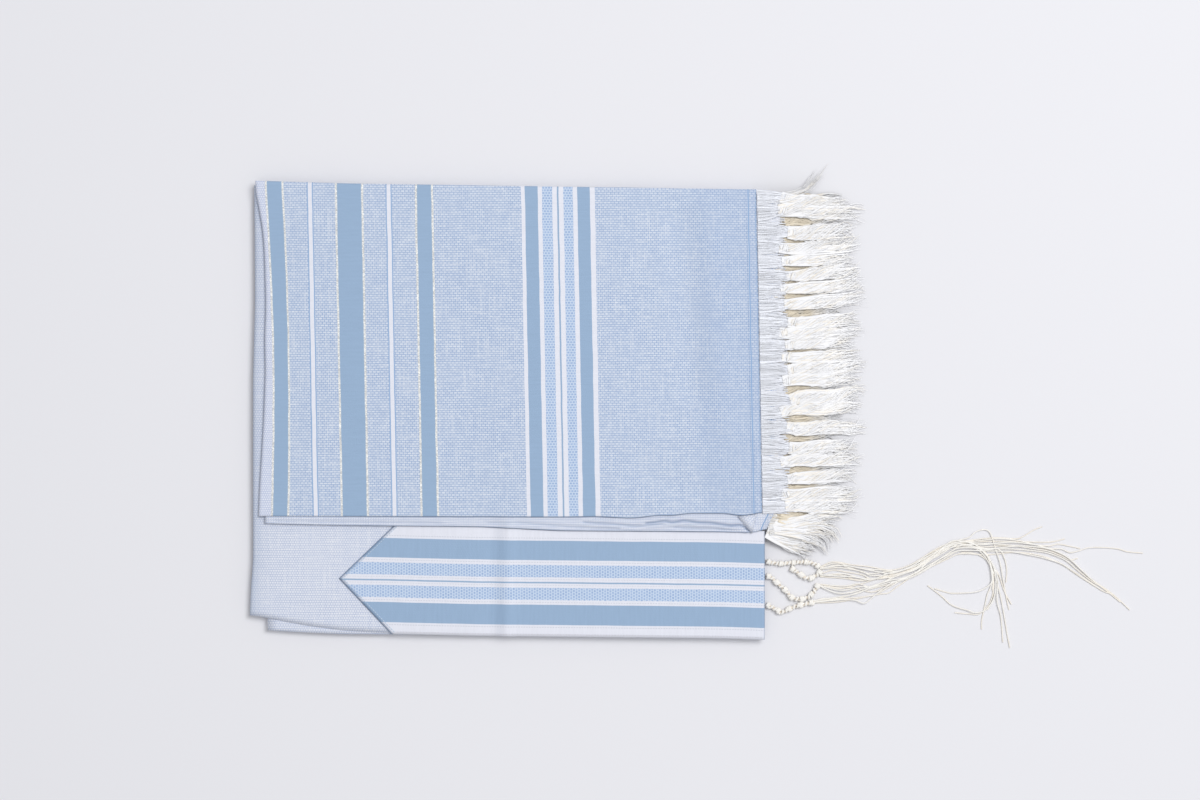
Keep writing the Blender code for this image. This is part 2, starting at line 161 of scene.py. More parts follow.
TZITZIT_YARN = yarn_material("tzitzit wool", (0.93, 0.91, 0.87), (0.87, 0.795, 0.68), -0.0008, 0.0026)
TZITZIT_SHADE = yarn_material("tzitzit wool in shade", (0.81, 0.74, 0.65), (0.70, 0.61, 0.50), 0.001, 0.003)
print("yarn ready:", TZITZIT_YARN.name)

# %% [markdown]
# ## Smooth routes
# A cord never lies in straight runs. Each route is a few given places, and a Catmull-Rom curve
# through them gives points close enough together for a tube.

# %% Smooth curve through hand-set places
def smooth_route(route, spacing):
    """Points a spacing apart on one smooth curve through the route's own points."""
    places = np.array(route, float)
    padded = np.vstack([2 * places[0] - places[1], places, 2 * places[-1] - places[-2]])
    fine = []
    for before, start, end, after in zip(padded, padded[1:], padded[2:], padded[3:]):
        share = np.linspace(0, 1, 12, endpoint=False)[:, None]
        fine.append(0.5 * (2 * start + (end - before) * share
                           + (2 * before - 5 * start + 4 * end - after) * share**2
                           + (3 * start - before - 3 * end + after) * share**3))
    fine = np.vstack(fine + [places[-1:]])
    travelled = np.concatenate([[0], np.cumsum(np.linalg.norm(np.diff(fine, axis=0), axis=1))])
    wanted = np.linspace(0, travelled[-1], max(4, round(travelled[-1] / spacing) + 1))
    return np.column_stack([np.interp(wanted, travelled, column) for column in fine.T])


def length_of(points):
    """Length of a line of points, in the unit that they are in."""
    return float(np.linalg.norm(np.diff(np.array(points)[:, :3], axis=0), axis=1).sum())


print("a 10 mm step gives", len(smooth_route([(0, 0), (60, 20), (120, 0)], 10)), "points")

# %% [markdown]
# ## Strands that follow a path
# A winding, a knot and a tassel are one thing to a maker: strands laid along a path, side by side or
# turning round it. One Geometry Nodes tree makes all three. It copies the path once for each strand,
# pushes each copy out from the middle at its own angle, turns it as it goes, lets its end stray, and
# sweeps a small ring along it. The sizes are named inputs, and the seed is fixed.

# %% The strand tree
STRAND_INPUTS = (
    ("Strands", "NodeSocketInt", 1),
    ("Steps", "NodeSocketInt", 12),
    ("Sides", "NodeSocketInt", 5),
    ("Turns", "NodeSocketFloat", 0.0),
    ("Inner reach", "NodeSocketFloat", 0.0),
    ("Side by side", "NodeSocketFloat", 0.0),
    ("Flatness", "NodeSocketFloat", 1.0),
    ("Wander", "NodeSocketFloat", 0.0),
    ("Waves a metre", "NodeSocketFloat", 55.0),
    ("Fray", "NodeSocketFloat", 0.0),
    ("Shortest", "NodeSocketFloat", 1.0),
    ("Thickness", "NodeSocketFloat", 0.0005),
    ("Strand height", "NodeSocketFloat", 1.0),
    ("Taper", "NodeSocketFloat", 0.0),
    ("Seed", "NodeSocketInt", 1),
    ("Material", "NodeSocketMaterial", None),
)


def make_strand_tree():
    tree = bpy.data.node_groups.new("strands along a path", "GeometryNodeTree")
    tree.interface.new_socket("Path", in_out="INPUT", socket_type="NodeSocketGeometry")
    for name, kind, start in STRAND_INPUTS:
        socket = tree.interface.new_socket(name, in_out="INPUT", socket_type=kind)
        if start is not None:
            socket.default_value = start
    tree.interface.new_socket("Strands made", in_out="OUTPUT", socket_type="NodeSocketGeometry")
    given = add_node(tree, "NodeGroupInput").outputs

    line = add_node(tree, "GeometryNodeMeshToCurve", {"Mesh": given["Path"]})
    upright = add_node(tree, "GeometryNodeSetCurveNormal", {"Curve": line.outputs[0]}, mode="Z_UP")
    stepped = add_node(tree, "GeometryNodeResampleCurve", {"Curve": upright.outputs[0],
                                                           "Count": given["Steps"]})
    copies = add_node(tree, "GeometryNodeDuplicateElements",
                      {"Geometry": stepped.outputs[0], "Amount": given["Strands"]}, domain="SPLINE")
    index = add_node(tree, "GeometryNodeInputIndex").outputs[0]

    def dice(shift, low=0.0, high=1.0):
        """A random number for each strand."""
        seed = calc(tree, "ADD", given["Seed"], shift)
        return add_node(tree, "FunctionNodeRandomValue", {2: low, 3: high, "ID": index, "Seed": seed},
                        data_type="FLOAT").outputs[1]

    lane_number = calc(tree, "ADD", copies.outputs["Duplicate Index"], 0.5)
    lane = calc(tree, "MULTIPLY_ADD", calc(tree, "DIVIDE", lane_number, given["Strands"]), 2.0, -1.0)
    kept = add_node(tree, "GeometryNodeCaptureAttribute", {"Geometry": copies.outputs[0]}, domain="CURVE")
    values = {
        "angle": calc(tree, "MULTIPLY", dice(1), math.tau),
        "reach": dice(2, given["Inner reach"]),
        "stray": dice(3),
        "cut": dice(4, given["Shortest"]),
        "lane": lane,
        "tone": dice(5),
    }
    for name, value in values.items():
        kept.capture_items.new("FLOAT", name)
        tree.links.new(value, kept.inputs[name])
    strand = kept.outputs

    share = add_node(tree, "GeometryNodeSplineParameter").outputs["Factor"]
    half_width = add_node(tree, "GeometryNodeInputNamedAttribute", {"Name": "half_width"},
                          data_type="FLOAT").outputs[0]
    out = add_node(tree, "GeometryNodeInputNormal").outputs[0]
    turned = calc(tree, "MULTIPLY", calc(tree, "MULTIPLY", share, given["Turns"]), math.tau)
    angle = calc(tree, "ADD", strand["angle"], turned)
    end_share = calc(tree, "POWER", share, 3.0)
    straying = calc(tree, "MULTIPLY", calc(tree, "MULTIPLY", end_share, given["Fray"]), strand["stray"])
    reach = calc(tree, "MULTIPLY", strand["reach"], calc(tree, "ADD", straying, 1.0))
    round_side = calc(tree, "MULTIPLY", calc(tree, "COSINE", angle), reach)
    side = add_node(tree, "ShaderNodeMix", {"Factor": given["Side by side"], 2: round_side,
                                            3: strand["lane"]}).outputs[0]
    up = calc(tree, "MULTIPLY", calc(tree, "MULTIPLY", calc(tree, "SINE", angle), reach), given["Flatness"])
    sideways = add_node(tree, "ShaderNodeVectorMath",
                        {0: out, "Scale": calc(tree, "MULTIPLY", side, half_width)}, operation="SCALE")
    upwards = add_node(tree, "ShaderNodeCombineXYZ", {2: calc(tree, "MULTIPLY", up, half_width)})

    where = add_node(tree, "GeometryNodeInputPosition").outputs[0]
    apart = calc(tree, "MULTIPLY", strand["tone"], 40.0)
    noise = add_node(tree, "ShaderNodeTexNoise",
                     {"Vector": where, "W": apart, "Scale": given["Waves a metre"], "Detail": 1.0},
                     noise_dimensions="4D")
    centred = add_node(tree, "ShaderNodeVectorMath", {0: noise.outputs["Color"], 1: (0.5, 0.5, 0.5)},
                       operation="SUBTRACT")
    wander = calc(tree, "MULTIPLY", calc(tree, "ADD", share, 0.12), given["Wander"])
    wandering = add_node(tree, "ShaderNodeVectorMath", {0: centred.outputs[0], 1: (1.0, 1.0, 0.35)},
                         operation="MULTIPLY")
    wandered = add_node(tree, "ShaderNodeVectorMath", {0: wandering.outputs[0], "Scale": wander},
                        operation="SCALE")
    moved = add_node(tree, "ShaderNodeVectorMath", {0: sideways.outputs[0], 1: upwards.outputs[0]},
                     operation="ADD")
    moved = add_node(tree, "ShaderNodeVectorMath", {0: moved.outputs[0], 1: wandered.outputs[0]},
                     operation="ADD")
    placed = add_node(tree, "GeometryNodeSetPosition", {"Geometry": kept.outputs[0],
                                                        "Offset": moved.outputs[0]})
    trimmed = add_node(tree, "GeometryNodeTrimCurve", {"Curve": placed.outputs[0], 3: strand["cut"]})
    marked = add_node(tree, "GeometryNodeStoreNamedAttribute",
                      {"Geometry": trimmed.outputs[0], "Name": "tone", "Value": strand["tone"]},
                      data_type="FLOAT", domain="POINT")
    ring = add_node(tree, "GeometryNodeCurvePrimitiveCircle", {"Resolution": given["Sides"], "Radius": 1.0})
    pressed = add_node(tree, "ShaderNodeCombineXYZ", {0: 1.0, 1: given["Strand height"], 2: 1.0})
    ring = add_node(tree, "GeometryNodeTransform", {"Geometry": ring.outputs[0], "Scale": pressed.outputs[0]})
    narrowing = calc(tree, "SUBTRACT", 1.0, calc(tree, "MULTIPLY", end_share, given["Taper"]))
    swept = add_node(tree, "GeometryNodeCurveToMesh",
                     {"Curve": marked.outputs[0], "Profile Curve": ring.outputs[0],
                      "Scale": calc(tree, "MULTIPLY", given["Thickness"], narrowing), "Fill Caps": True})
    real = add_node(tree, "GeometryNodeRealizeInstances", {"Geometry": swept.outputs[0]})
    finished = add_node(tree, "GeometryNodeSetMaterial", {"Geometry": real.outputs[0],
                                                          "Material": given["Material"]})
    add_node(tree, "NodeGroupOutput", {0: finished.outputs[0]})
    return tree


STRAND_TREE = make_strand_tree()
print("strand tree has", len(STRAND_TREE.nodes), "nodes")

# %% [markdown]
# ## Growing strands and joining the results
# A tree runs as a modifier on a path, which is a line of points that carries its half width. The
# result is then made a plain mesh, because an export knows no modifiers of this kind. Pieces that
# belong together are joined into one mesh with numpy-style lists of points and faces.

# %% Growing and joining
def add_object(name, mesh):
    made = bpy.data.objects.new(name, mesh)
    scene.collection.objects.link(made)
    return made


def grow(paths, material, **sizes):
    """The plain mesh that the strand tree makes along paths of x, y, z and half width in millimetres."""
    points = [tuple(value * MM for value in place[:3]) for path in paths for place in path]
    widths = [place[3] * MM for path in paths for place in path]
    edges, first = [], 0
    for path in paths:
        edges += [(first + step, first + step + 1) for step in range(len(path) - 1)]
        first += len(path)
    lines = bpy.data.meshes.new("paths")
    lines.from_pydata(points, edges, [])
    lines.attributes.new("half_width", "FLOAT", "POINT").data.foreach_set("value", widths)
    holder = add_object("paths", lines)
    strands = holder.modifiers.new("strands", "NODES")
    strands.node_group = STRAND_TREE
    wanted = {"Material": material, **{name.replace("_", " "): value for name, value in sizes.items()}}
    for socket in STRAND_TREE.interface.items_tree:
        if socket.in_out == "INPUT" and socket.name in wanted:
            strands[socket.identifier] = wanted.pop(socket.name)
    assert not wanted, f"no such input: {list(wanted)}"
    graph = bpy.context.evaluated_depsgraph_get()
    made = bpy.data.meshes.new_from_object(holder.evaluated_get(graph), depsgraph=graph)
    bpy.data.objects.remove(holder, do_unlink=True)
    return made


def join(name, meshes):
    """One smooth-shaded object from several meshes."""
    parts = [add_object("part", mesh) for mesh in meshes]
    with bpy.context.temp_override(active_object=parts[0], selected_editable_objects=parts):
        if len(parts) > 1:
            bpy.ops.object.join()
    made = parts[0]
    made.name = name
    made.data.name = name
    made.data.shade_smooth()
    return made


def triangles(obj):
    return sum(len(face.vertices) - 2 for face in obj.data.polygons)


print("grow and join ready")

# %% [markdown]
# ## The wound cords of the tzitzit
# Strings are threaded through a hole near each corner of the shawl and doubled. One of them is wound
# round the others in tight turns between double knots. Each wound cord is a bundle of gently twisted
# strands inside, a single strand turning closely round it, and two short wide strands for each knot.
# The four come out from under the end of the neckband, and their routes are the frame's own.

# %% Four wound cords with their knots
# The middle of each cord's strands, which lie a little higher than the middle line that each cord is declared
# by.
BULK_HEIGHT = 2.3
WINDING_PITCH = 3.5
WINDING_STRAND = 0.94
KNOT_SPACING = 8.5
# Half widths of the bundle inside, of the winding and of a knot.
INSIDE_REACH, WINDING_REACH, KNOT_REACH = 0.85, 1.3, 1.85
WRAP_ROUTES = {
    "tzitzit_wrap_1": [(174.6, -135.2), (178.0, -136.3), (183.0, -137.2), (189.0, -137.3), (195.0, -136.7),
                       (201.0, -136.2), (207.0, -135.9), (212.0, -136.6), (216.5, -138.4), (219.4, -140.2)],
    "tzitzit_wrap_2": [(195.2, -141.0), (199.8, -144.0), (203.0, -146.0), (206.0, -148.3), (209.2, -150.0),
                       (212.8, -149.6), (216.0, -147.7), (219.0, -145.6), (220.6, -143.2)],
    "tzitzit_wrap_3": [(174.6, -147.8), (178.5, -148.9), (182.4, -152.6), (187.3, -156.8), (191.6, -160.9),
                       (195.2, -165.4), (199.6, -167.3), (205.0, -167.3), (209.6, -166.0), (213.4, -162.8),
                       (216.4, -158.6), (218.6, -154.6)],
    "tzitzit_wrap_4": [(174.6, -172.0), (180.4, -174.8), (184.6, -177.4), (188.4, -178.4), (192.2, -176.4),
                       (197.0, -174.4), (202.0, -172.8), (207.4, -171.6), (214.6, -170.0)],
}


def with_height(line, height, half_width):
    return [(x, y, height, half_width) for x, y in line]


def stretch_of(line, start, end):
    """The part of a line between two shares of its length."""
    return line[max(0, round(start * (len(line) - 1))):round(end * (len(line) - 1)) + 1]


wound_cords = []
for number, (name, route) in enumerate(WRAP_ROUTES.items()):
    line = smooth_route(route, 0.4)
    long = length_of(line)
    turns = long / WINDING_PITCH
    inside = grow([with_height(line, BULK_HEIGHT, INSIDE_REACH)], TZITZIT_SHADE,
                  Strands=7, Steps=round(long / 1.5), Turns=long / 16, Inner_reach=0.9,
                  Thickness=0.58 * MM, Seed=number)
    winding = grow([with_height(line, BULK_HEIGHT, WINDING_REACH)], TZITZIT_YARN,
                   Strands=1, Steps=round(turns * 14), Turns=turns, Inner_reach=1.0,
                   Thickness=WINDING_STRAND * MM, Seed=number + 10)
    meshes = [inside, winding]
    knots = max(3, round(long / KNOT_SPACING))
    for share in np.linspace(1.8 / long, 1 - 1.8 / long, knots):
        half = 1.5 / long
        knot_line = with_height(stretch_of(line, max(0, share - half), min(1, share + half)),
                                BULK_HEIGHT, KNOT_REACH)
        meshes.append(grow([knot_line], TZITZIT_YARN, Strands=2, Steps=34, Turns=1.6, Inner_reach=1.0,
                           Thickness=0.8 * MM, Seed=number + 20, Sides=6))
    cord = join(f"wound_cord_{number + 1}", meshes)
    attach(cord, "root")
    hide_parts(name)
    wound_cords.append(cord)
    print(cord.name, f"{long:.0f} mm long,", triangles(cord), "triangles")

# %% [markdown]
# ## The loose strings of the tzitzit
# Past the last knot the strings hang free, and here they lie on the table. They run together in one
# bunch, side by side and over each other, and part again at their ends. Each string is a curve of
# its own with a round bevel. Its route is given place by place where it leaves a knot and where it
# parts from the bunch, and between those it keeps to a lane of the bunch's middle line.

# %% The bunch's middle line and its lanes
STRING_DIAMETER = 1.0
# x, y and half width of the bunch.
BUNCH_LINE = np.array([
    (222.8, -153.2, 13.0), (236.2, -151.6, 13.5), (248.8, -152.4, 12.5), (263.1, -151.6, 10.0),
    (277.4, -149.0, 7.0), (286.7, -147.4, 5.4), (299.3, -143.0, 5.2), (312.0, -135.6, 5.6),
    (324.6, -128.4, 6.0), (334.7, -123.8, 6.0), (345.6, -123.0, 6.2), (358.3, -123.2, 6.8),
    (370.9, -122.6, 7.0), (385.2, -122.9, 6.4), (400.4, -125.0, 6.0), (413.0, -127.7, 5.8),
    (427.3, -134.0, 4.9), (439.1, -143.6, 3.6), (451.4, -153.2, 2.2), (467.6, -163.7, 1.2),
])


def bunch_lane(first_x, last_x, first_lane, last_lane, sway):
    """Places along the bunch between two x, from one lane to another; lane 1 is its upper side."""
    heading = np.gradient(BUNCH_LINE[:, :2], axis=0)
    heading /= np.linalg.norm(heading, axis=1)[:, None]
    places = []
    for (x, y, half_width), (run_x, run_y) in zip(BUNCH_LINE, heading):
        if first_x <= x <= last_x:
            share = (x - first_x) / (last_x - first_x)
            lane = first_lane + (last_lane - first_lane) * share + 0.22 * math.sin(share * 9 + sway)
            out = max(-1.0, min(1.0, lane)) * half_width
            places.append((x - run_y * out, y + run_x * out))
    return places


print("bunch is", round(length_of(BUNCH_LINE[:, :2])), "mm long")

# %% Every string's own route
# Head places, first and last x in the bunch, first and last lane, tail places, level of its layer.
STRINGS = [
    ([(221, -140), (231, -136), (247, -138.5), (261, -140)], 277, 386, 0.9, 0.95,
     [(392, -114.5), (401, -109), (408, -106.3)], 1),
    ([(221, -141), (226, -140.5), (235, -138.6), (245, -141), (262, -146)], 277, 414, 0.5, 0.75,
     [(424, -125), (431, -128), (439, -126.6), (447, -124), (459, -123.8), (472, -125), (480, -127.4),
      (493, -128.6)], 2),
    ([(221, -146), (231, -143), (242, -144.5), (256, -147)], 263, 400, 0.2, 0.9,
     [(410, -119.4), (419, -118.6), (427, -116.5)], 1),
    ([(221, -147), (236, -148), (251, -149)], 263, 340, 0.25, 0.9,
     [(351, -121.5), (359, -129), (362.5, -134), (365, -146), (364.5, -154), (357, -159.4), (349, -161.7),
      (333, -162.6), (327, -161.7), (317, -158.6)], 3),
    ([(218.4, -155.0), (236, -158.6), (247, -156.6), (258, -153.6)], 277, 468, 0.1, 0.3,
     [(482, -176.6)], 1),
    ([(218.2, -155.6), (233, -162), (245, -162), (256, -158.9)], 277, 346, -0.6, 0.4,
     [(356, -126), (364, -135), (370, -149), (369.6, -168), (373, -183), (374.7, -204)], 3),
    ([(213.5, -169.4), (223, -167), (237, -166.5), (258, -160)], 277, 452, -0.7, -0.8,
     [(459, -160.5), (468, -163.6)], 2),
    ([(213.5, -170.0), (226, -168.2), (247, -166.5), (262, -164.6), (270, -162)], 287, 346, -0.8, 0.0,
     [(358, -130), (367, -146), (372, -162), (376, -183), (378.5, -198), (380.6, -208.6)], 2),
    ([(220, -140.5), (234, -137), (248, -140.5)], 263, 335, 0.75, 1.0,
     [(345.6, -115.4), (351, -111), (357, -108.8), (362, -109.4), (365, -114), (368, -124), (372, -136),
      (375, -152), (378, -168), (380, -176.5)], 2),
    ([(220, -148), (237, -147), (250, -151)], 263, 346, 0.0, 0.65,
     [(354, -122.5), (362, -131), (367, -143), (366, -158), (367, -167), (361.6, -176.5)], 1),
    ([(218.6, -154.8), (240, -156.5), (252, -154.5)], 263, 346, -0.35, 0.5,
     [(356, -125), (363, -134), (366, -148), (364, -158), (361.6, -163.5), (358.6, -177), (356.8, -186),
      (356.8, -193)], 2),
    ([(213.5, -169.0), (236, -165.5), (250, -163), (262, -158)], 277, 335, -0.3, 0.55,
     [(347, -119.5), (358, -127.5), (366, -139), (368.5, -152), (367, -166), (360, -176.5), (350.6, -179),
      (345.6, -177), (336.4, -174.6), (330, -171.6), (324, -166), (317, -160.4), (311, -156)], 3),
    ([(218.2, -155.4), (238, -160), (254, -157)], 263, 371, -0.8, -0.2,
     [(376, -133), (378, -143), (377.3, -153.5)], 3),
    ([(220, -142), (237, -141), (255, -144)], 263, 414, 0.45, 0.2,
     [(424, -131), (431, -134.5), (438, -133)], 2),
    ([(221, -147.5), (240, -146), (256, -150)], 277, 428, 0.15, -0.3,
     [(439, -144), (450, -152.5), (459, -157.6)], 2),
    ([(213.5, -170.3), (238, -168), (249.5, -168.4), (257, -171), (262, -168), (267, -163.5)],
     277, 440, -0.95, 0.5,
     [(451, -152), (463, -161), (474, -170)], 3),
    ([(213.5, -170.8), (235, -170), (252, -167), (271, -163.2), (278, -162.3), (286, -156.6)],
     299, 452, -0.95, -0.95,
     [(456, -158.5)], 1),
    ([(218.4, -155.2), (236, -158), (250, -158)], 263, 346, -0.9, -0.85,
     [(358, -132), (370, -145), (376, -161), (382, -172)], 1),
    ([(220, -141.5), (240, -139), (257, -142)], 277, 400, 0.65, 0.35,
     [(411, -122.5), (421, -121), (431, -122.7), (440, -124.7)], 3),
    ([(220, -148.5), (241, -150), (257, -152)], 277, 335, -0.1, 0.75,
     [(346, -119), (357, -126.5), (364, -138), (367, -155), (364, -170), (355, -179.8), (346, -180),
      (334, -179)], 1),
]


def string_route(number, head, first_x, last_x, first_lane, last_lane, tail, level):
    """One string's smooth line, in metres, lying in its layer of the bunch and coming down at its end."""
    flat = smooth_route(head + bunch_lane(first_x, last_x, first_lane, last_lane, number * 1.7) + tail, 2.0)
    share = np.linspace(0, 1, len(flat))
    lift = 0.5 * STRING_DIAMETER + 0.1 + (level - 1) * 0.85 * STRING_DIAMETER
    ground = 0.5 * STRING_DIAMETER + 0.1
    fade = np.clip((share - 0.80) / 0.15, 0, 1)
    height = lift + (ground - lift) * fade * fade * (3 - 2 * fade)
    bumpy = 0.25 * np.sin(share * 21 + number) * np.sin(math.pi * share) + 0.25 * np.sin(math.pi * share)
    return np.column_stack([flat, np.maximum(ground, height + bumpy)]) * MM


def lay_string(name, points):
    """A round bevelled curve along a line of points."""
    curve = bpy.data.curves.new(name, "CURVE")
    curve.dimensions = "3D"
    curve.bevel_depth = STRING_DIAMETER / 2 * MM
    curve.bevel_resolution = 1
    curve.use_fill_caps = True
    spline = curve.splines.new("POLY")
    spline.points.add(len(points) - 1)
    for place, (x, y, z) in zip(spline.points, points):
        place.co = (x, y, z, 1)
    spline.use_smooth = True
    curve.materials.append(TZITZIT_YARN)
    return add_object(name, curve)


STRING_NODES = [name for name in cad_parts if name.startswith("tzitzit_string")]
for number, string in enumerate(STRINGS):
    points = string_route(number, *string)
    piece = lay_string(f"loose_string_{number + 1:02d}", points)
    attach(piece, "root")
    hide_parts(*STRING_NODES)
    print(piece.name, f"{length_of(points) * 1000:.0f} mm long")

# %% [markdown]
# ## Where the layers lie
# A folded cloth is a stack of layers that share their swells and hollows: a hollow in the top layer
# is a hollow in all of them. So each layer is one grid of points over a four-sided patch, its height
# is its place in the stack plus one relief that every layer shares, and a folded side rolls down in a
# quarter round.

# %% Edges of the layers, as the frame has them
RIGHT_FOLD = 173.0
HEM_LINE = RIGHT_FOLD - 2.5
# The end panel's lower and upper sides, and how far its hem slants from one to the other.
PANEL_BOTTOM, PANEL_TOP = -97, 178
PANEL_TALL = PANEL_TOP - PANEL_BOTTOM
HEM_SLANT = 5.0
# Each row is (place along the edge, the edge's own coordinate), in millimetres.
END_LEFT = [(-97, -253.4), (-71, -252.3), (-37, -250.2), (-16, -249.0), (26, -247.5), (51, -248.1),
            (81, -247.2), (110, -247.9), (130, -248.7), (145, -250.0), (160, -252.6), (178, -256.0)]
END_RIGHT = [(-97, HEM_LINE), (178, HEM_LINE - 5)]
END_BOTTOM = [(-254, -96.9), (0, -97.8), (32, -97.3), (61, -98.9), (83, -96.2), (95, -96.7),
              (107, -94.7), (142, -94.7), (150, -96.8), (160, -96.0), (171, -93.5)]
END_TOP_EDGE = [(-256, 185.5), (-181, 183.2), (-33, 181.0), (166, 178.1)]
NECK_LEFT = [(-184, -261.4), (-159, -260.3), (-134, -258.5), (18, -258.5), (85, -256.8), (183, -257.5)]
NECK_RIGHT = [(-201, RIGHT_FOLD - 1.8), (178, RIGHT_FOLD - 1.8)]
NECK_BOTTOM = [(-261, -180.5), (-248, -182.3), (-229, -186.1), (-208, -189.7), (-181, -193.2),
               (-142, -195.2), (-67, -196.9), (135, -199.0), (173, -200.2)]
NECK_TOP_EDGE = [(-258, 182.0), (-181, 179.7), (-33, 177.5), (172, 174.6)]
UNDER_LEFT = [(-196, -246.0), (180, -252.0)]
UNDER_RIGHT = [(-196, RIGHT_FOLD - 6), (180, RIGHT_FOLD - 6)]
UNDER_BOTTOM = [(-247, -193.2), (-214, -195.3), (-181, -196.6), (-142, -196.9), (173, -198.9)]
UNDER_TOP_EDGE = [(-252, 176.0), (173, 169.0)]
UNDERFOLD_LEFT = [(-103, -248.0), (-16, -244.5), (110, -243.5), (180, -249.0)]
UNDERFOLD_RIGHT = [(-109, 173.5), (-91, 182.4), (178, 184.0)]
UNDERFOLD_BOTTOM = [(-248, -103.1), (-193, -104.4), (-139, -105.2), (-67, -105.9), (0, -109.2),
                    (68, -109.7), (135, -110.1), (163, -111.0), (175, -107.5)]
UNDERFOLD_TOP_EDGE = [(-252, 181.0), (-181, 179.0), (-33, 177.0), (184, 173.5)]
BAND_TOP_EDGE = [(-187, -104.5), (-67, -106.1), (0, -109.5), (135, -110.3), (173, -109.5)]
BAND_BOTTOM = [(-187, -195.4), (-142, -196.2), (-67, -197.9), (135, -200.0), (173, -201.2)]
BAND_TIP_X = RIGHT_FOLD - 358.7
BAND_TIP_Y = -149.4
BAND_SHOULDER_X = BAND_TIP_X + 45.0
BAND_LEFT = [(-196, BAND_SHOULDER_X - 1.2), (BAND_TIP_Y, BAND_TIP_X), (-105, BAND_SHOULDER_X + 1.2)]
BAND_RIGHT = [(-201, RIGHT_FOLD), (-109, RIGHT_FOLD)]
# Heights of the layers' upper faces, from the table up.
UNDER_TOP, NECK_TOP, NECKBAND_TOP, UNDERFOLD_TOP, END_TOP = 6.9, 8.4, 9.7, 11.2, 12.7
CLOTH = 1.2
PUFF = 0.6
FOLD_RADIUS = 2.6
print("end panel is", round(END_RIGHT[0][1] - END_LEFT[0][1]), "mm wide")

# %% Relief that the layers share
# name, start x, start y, end x, end y, half width, height
FOLDS = [
    ("trough before the hem", 101, 150, 112, 10, 12, -1.4),
    ("ridge by the hem", 127, 160, 138, -20, 13, 1.4),
    ("trough by the lower hem", 70, -60, 138, -88, 13, -0.8),
    ("ridge beside the stripes", 45, 170, 52, -20, 24, 0.5),
    ("rise of the neckband", -43, -104, -44, -200, 5.5, 2.0),
    ("dip beside that rise", -58, -104, -58, -200, 8, -0.9),
    ("left swell", -205, 120, -200, -60, 40, 0.4),
    ("middle hollow", -95, 100, -80, -70, 30, -0.5),
]
# Slow waves of the cloth: waves a metre across x, across y, start, height in millimetres.
SLOW_WAVES = [(7.0, 3.0, 0.4, 0.10), (-5.0, 9.0, 1.9, 0.10), (13.0, -6.0, 4.1, 0.07), (3.0, 16.0, 2.6, 0.06)]


def segment_distance(x, y, x0, y0, x1, y1):
    """Distance from each point to a stretch of straight line."""
    run_x, run_y = x1 - x0, y1 - y0
    share = np.clip(((x - x0) * run_x + (y - y0) * run_y) / (run_x**2 + run_y**2), 0, 1)
    return np.hypot(x - x0 - share * run_x, y - y0 - share * run_y)


def relief(x, y):
    """How far the cloth stands over its flat height."""
    height = PUFF + 0.0 * x
    for _name, x0, y0, x1, y1, half_width, rise in FOLDS:
        height = height + rise * np.exp(-((segment_distance(x, y, x0, y0, x1, y1) / half_width) ** 2))
    for across_x, across_y, start, rise in SLOW_WAVES:
        height = height + rise * np.sin(math.tau * (across_x * x + across_y * y) * MM + start)
    return height


def along(edge, place):
    """An edge's own coordinate at each place along it, with soft corners but for the neckband's point."""
    line = np.array(edge, float)
    reach = (0.0,) if edge is BAND_LEFT else (-5.0, -2.5, 0.0, 2.5, 5.0)
    return sum(np.interp(place + step, line[:, 0], line[:, 1]) for step in reach) / len(reach)


def fold_drop(distance):
    """How far a rolled side has dropped at this distance from its outer edge."""
    inward = np.clip(FOLD_RADIUS - distance, 0, FOLD_RADIUS)
    return FOLD_RADIUS - np.sqrt(FOLD_RADIUS**2 - inward**2)


print("relief at the middle:", round(float(relief(np.array(0.0), np.array(0.0))), 2), "mm")

# %% A cloth layer's grid and its shell
def places_over(span, step, first_folded, last_folded, fine=()):
    """Places from 0 to 1 over a span: closer at rolled sides, and in fine stretches (start, end, step)."""
    rolled = np.array([0, 0.1, 0.35, 0.75, 1.25, 1.9, 2.6, 3.6])
    places = list(np.arange(0, span, step)) + [span]
    if first_folded:
        places += list(rolled)
    if last_folded:
        places += list(span - rolled)
    for start, end, closer in fine:
        places += list(np.arange(start, end, closer))
    kept = [0.0]
    for place in sorted(places):
        if place - kept[-1] > 0.08 and 0 < place < span - 0.08:
            kept.append(place)
    return np.array(kept + [span]) / span


def cloth_grid(edges, step, folded, height, fine_x=(), fine_y=()):
    """x, y and z over a four-edged patch; edges are left, right, bottom and top."""
    left, right, bottom, top = edges
    low = np.mean([y for _x, y in bottom])
    high = np.mean([y for _x, y in top])
    width = along(right, low) - along(left, low)
    runs = places_over(width, step, "left" in folded, "right" in folded, fine_x)
    rises = places_over(high - low, step, "bottom" in folded, "top" in folded, fine_y)
    run, rise = np.meshgrid(runs, rises)
    y = low + (high - low) * rise
    x = along(left, y) + (along(right, y) - along(left, y)) * run
    y = along(bottom, x) + (along(top, x) - along(bottom, x)) * rise
    x = along(left, y) + (along(right, y) - along(left, y)) * run
    reach = {"left": x - along(left, y), "right": along(right, y) - x,
             "bottom": y - along(bottom, x), "top": along(top, x) - y}
    drop = 0.0 * x
    for side, distance in reach.items():
        if side in folded:
            drop = np.maximum(drop, fold_drop(np.maximum(distance, 0)))
        else:
            drop = np.maximum(drop, 0.3 * np.clip(1 - distance / 1.1, 0, 1) ** 2)
    return np.stack([x, y, height(x, y) - drop], axis=-1), reach


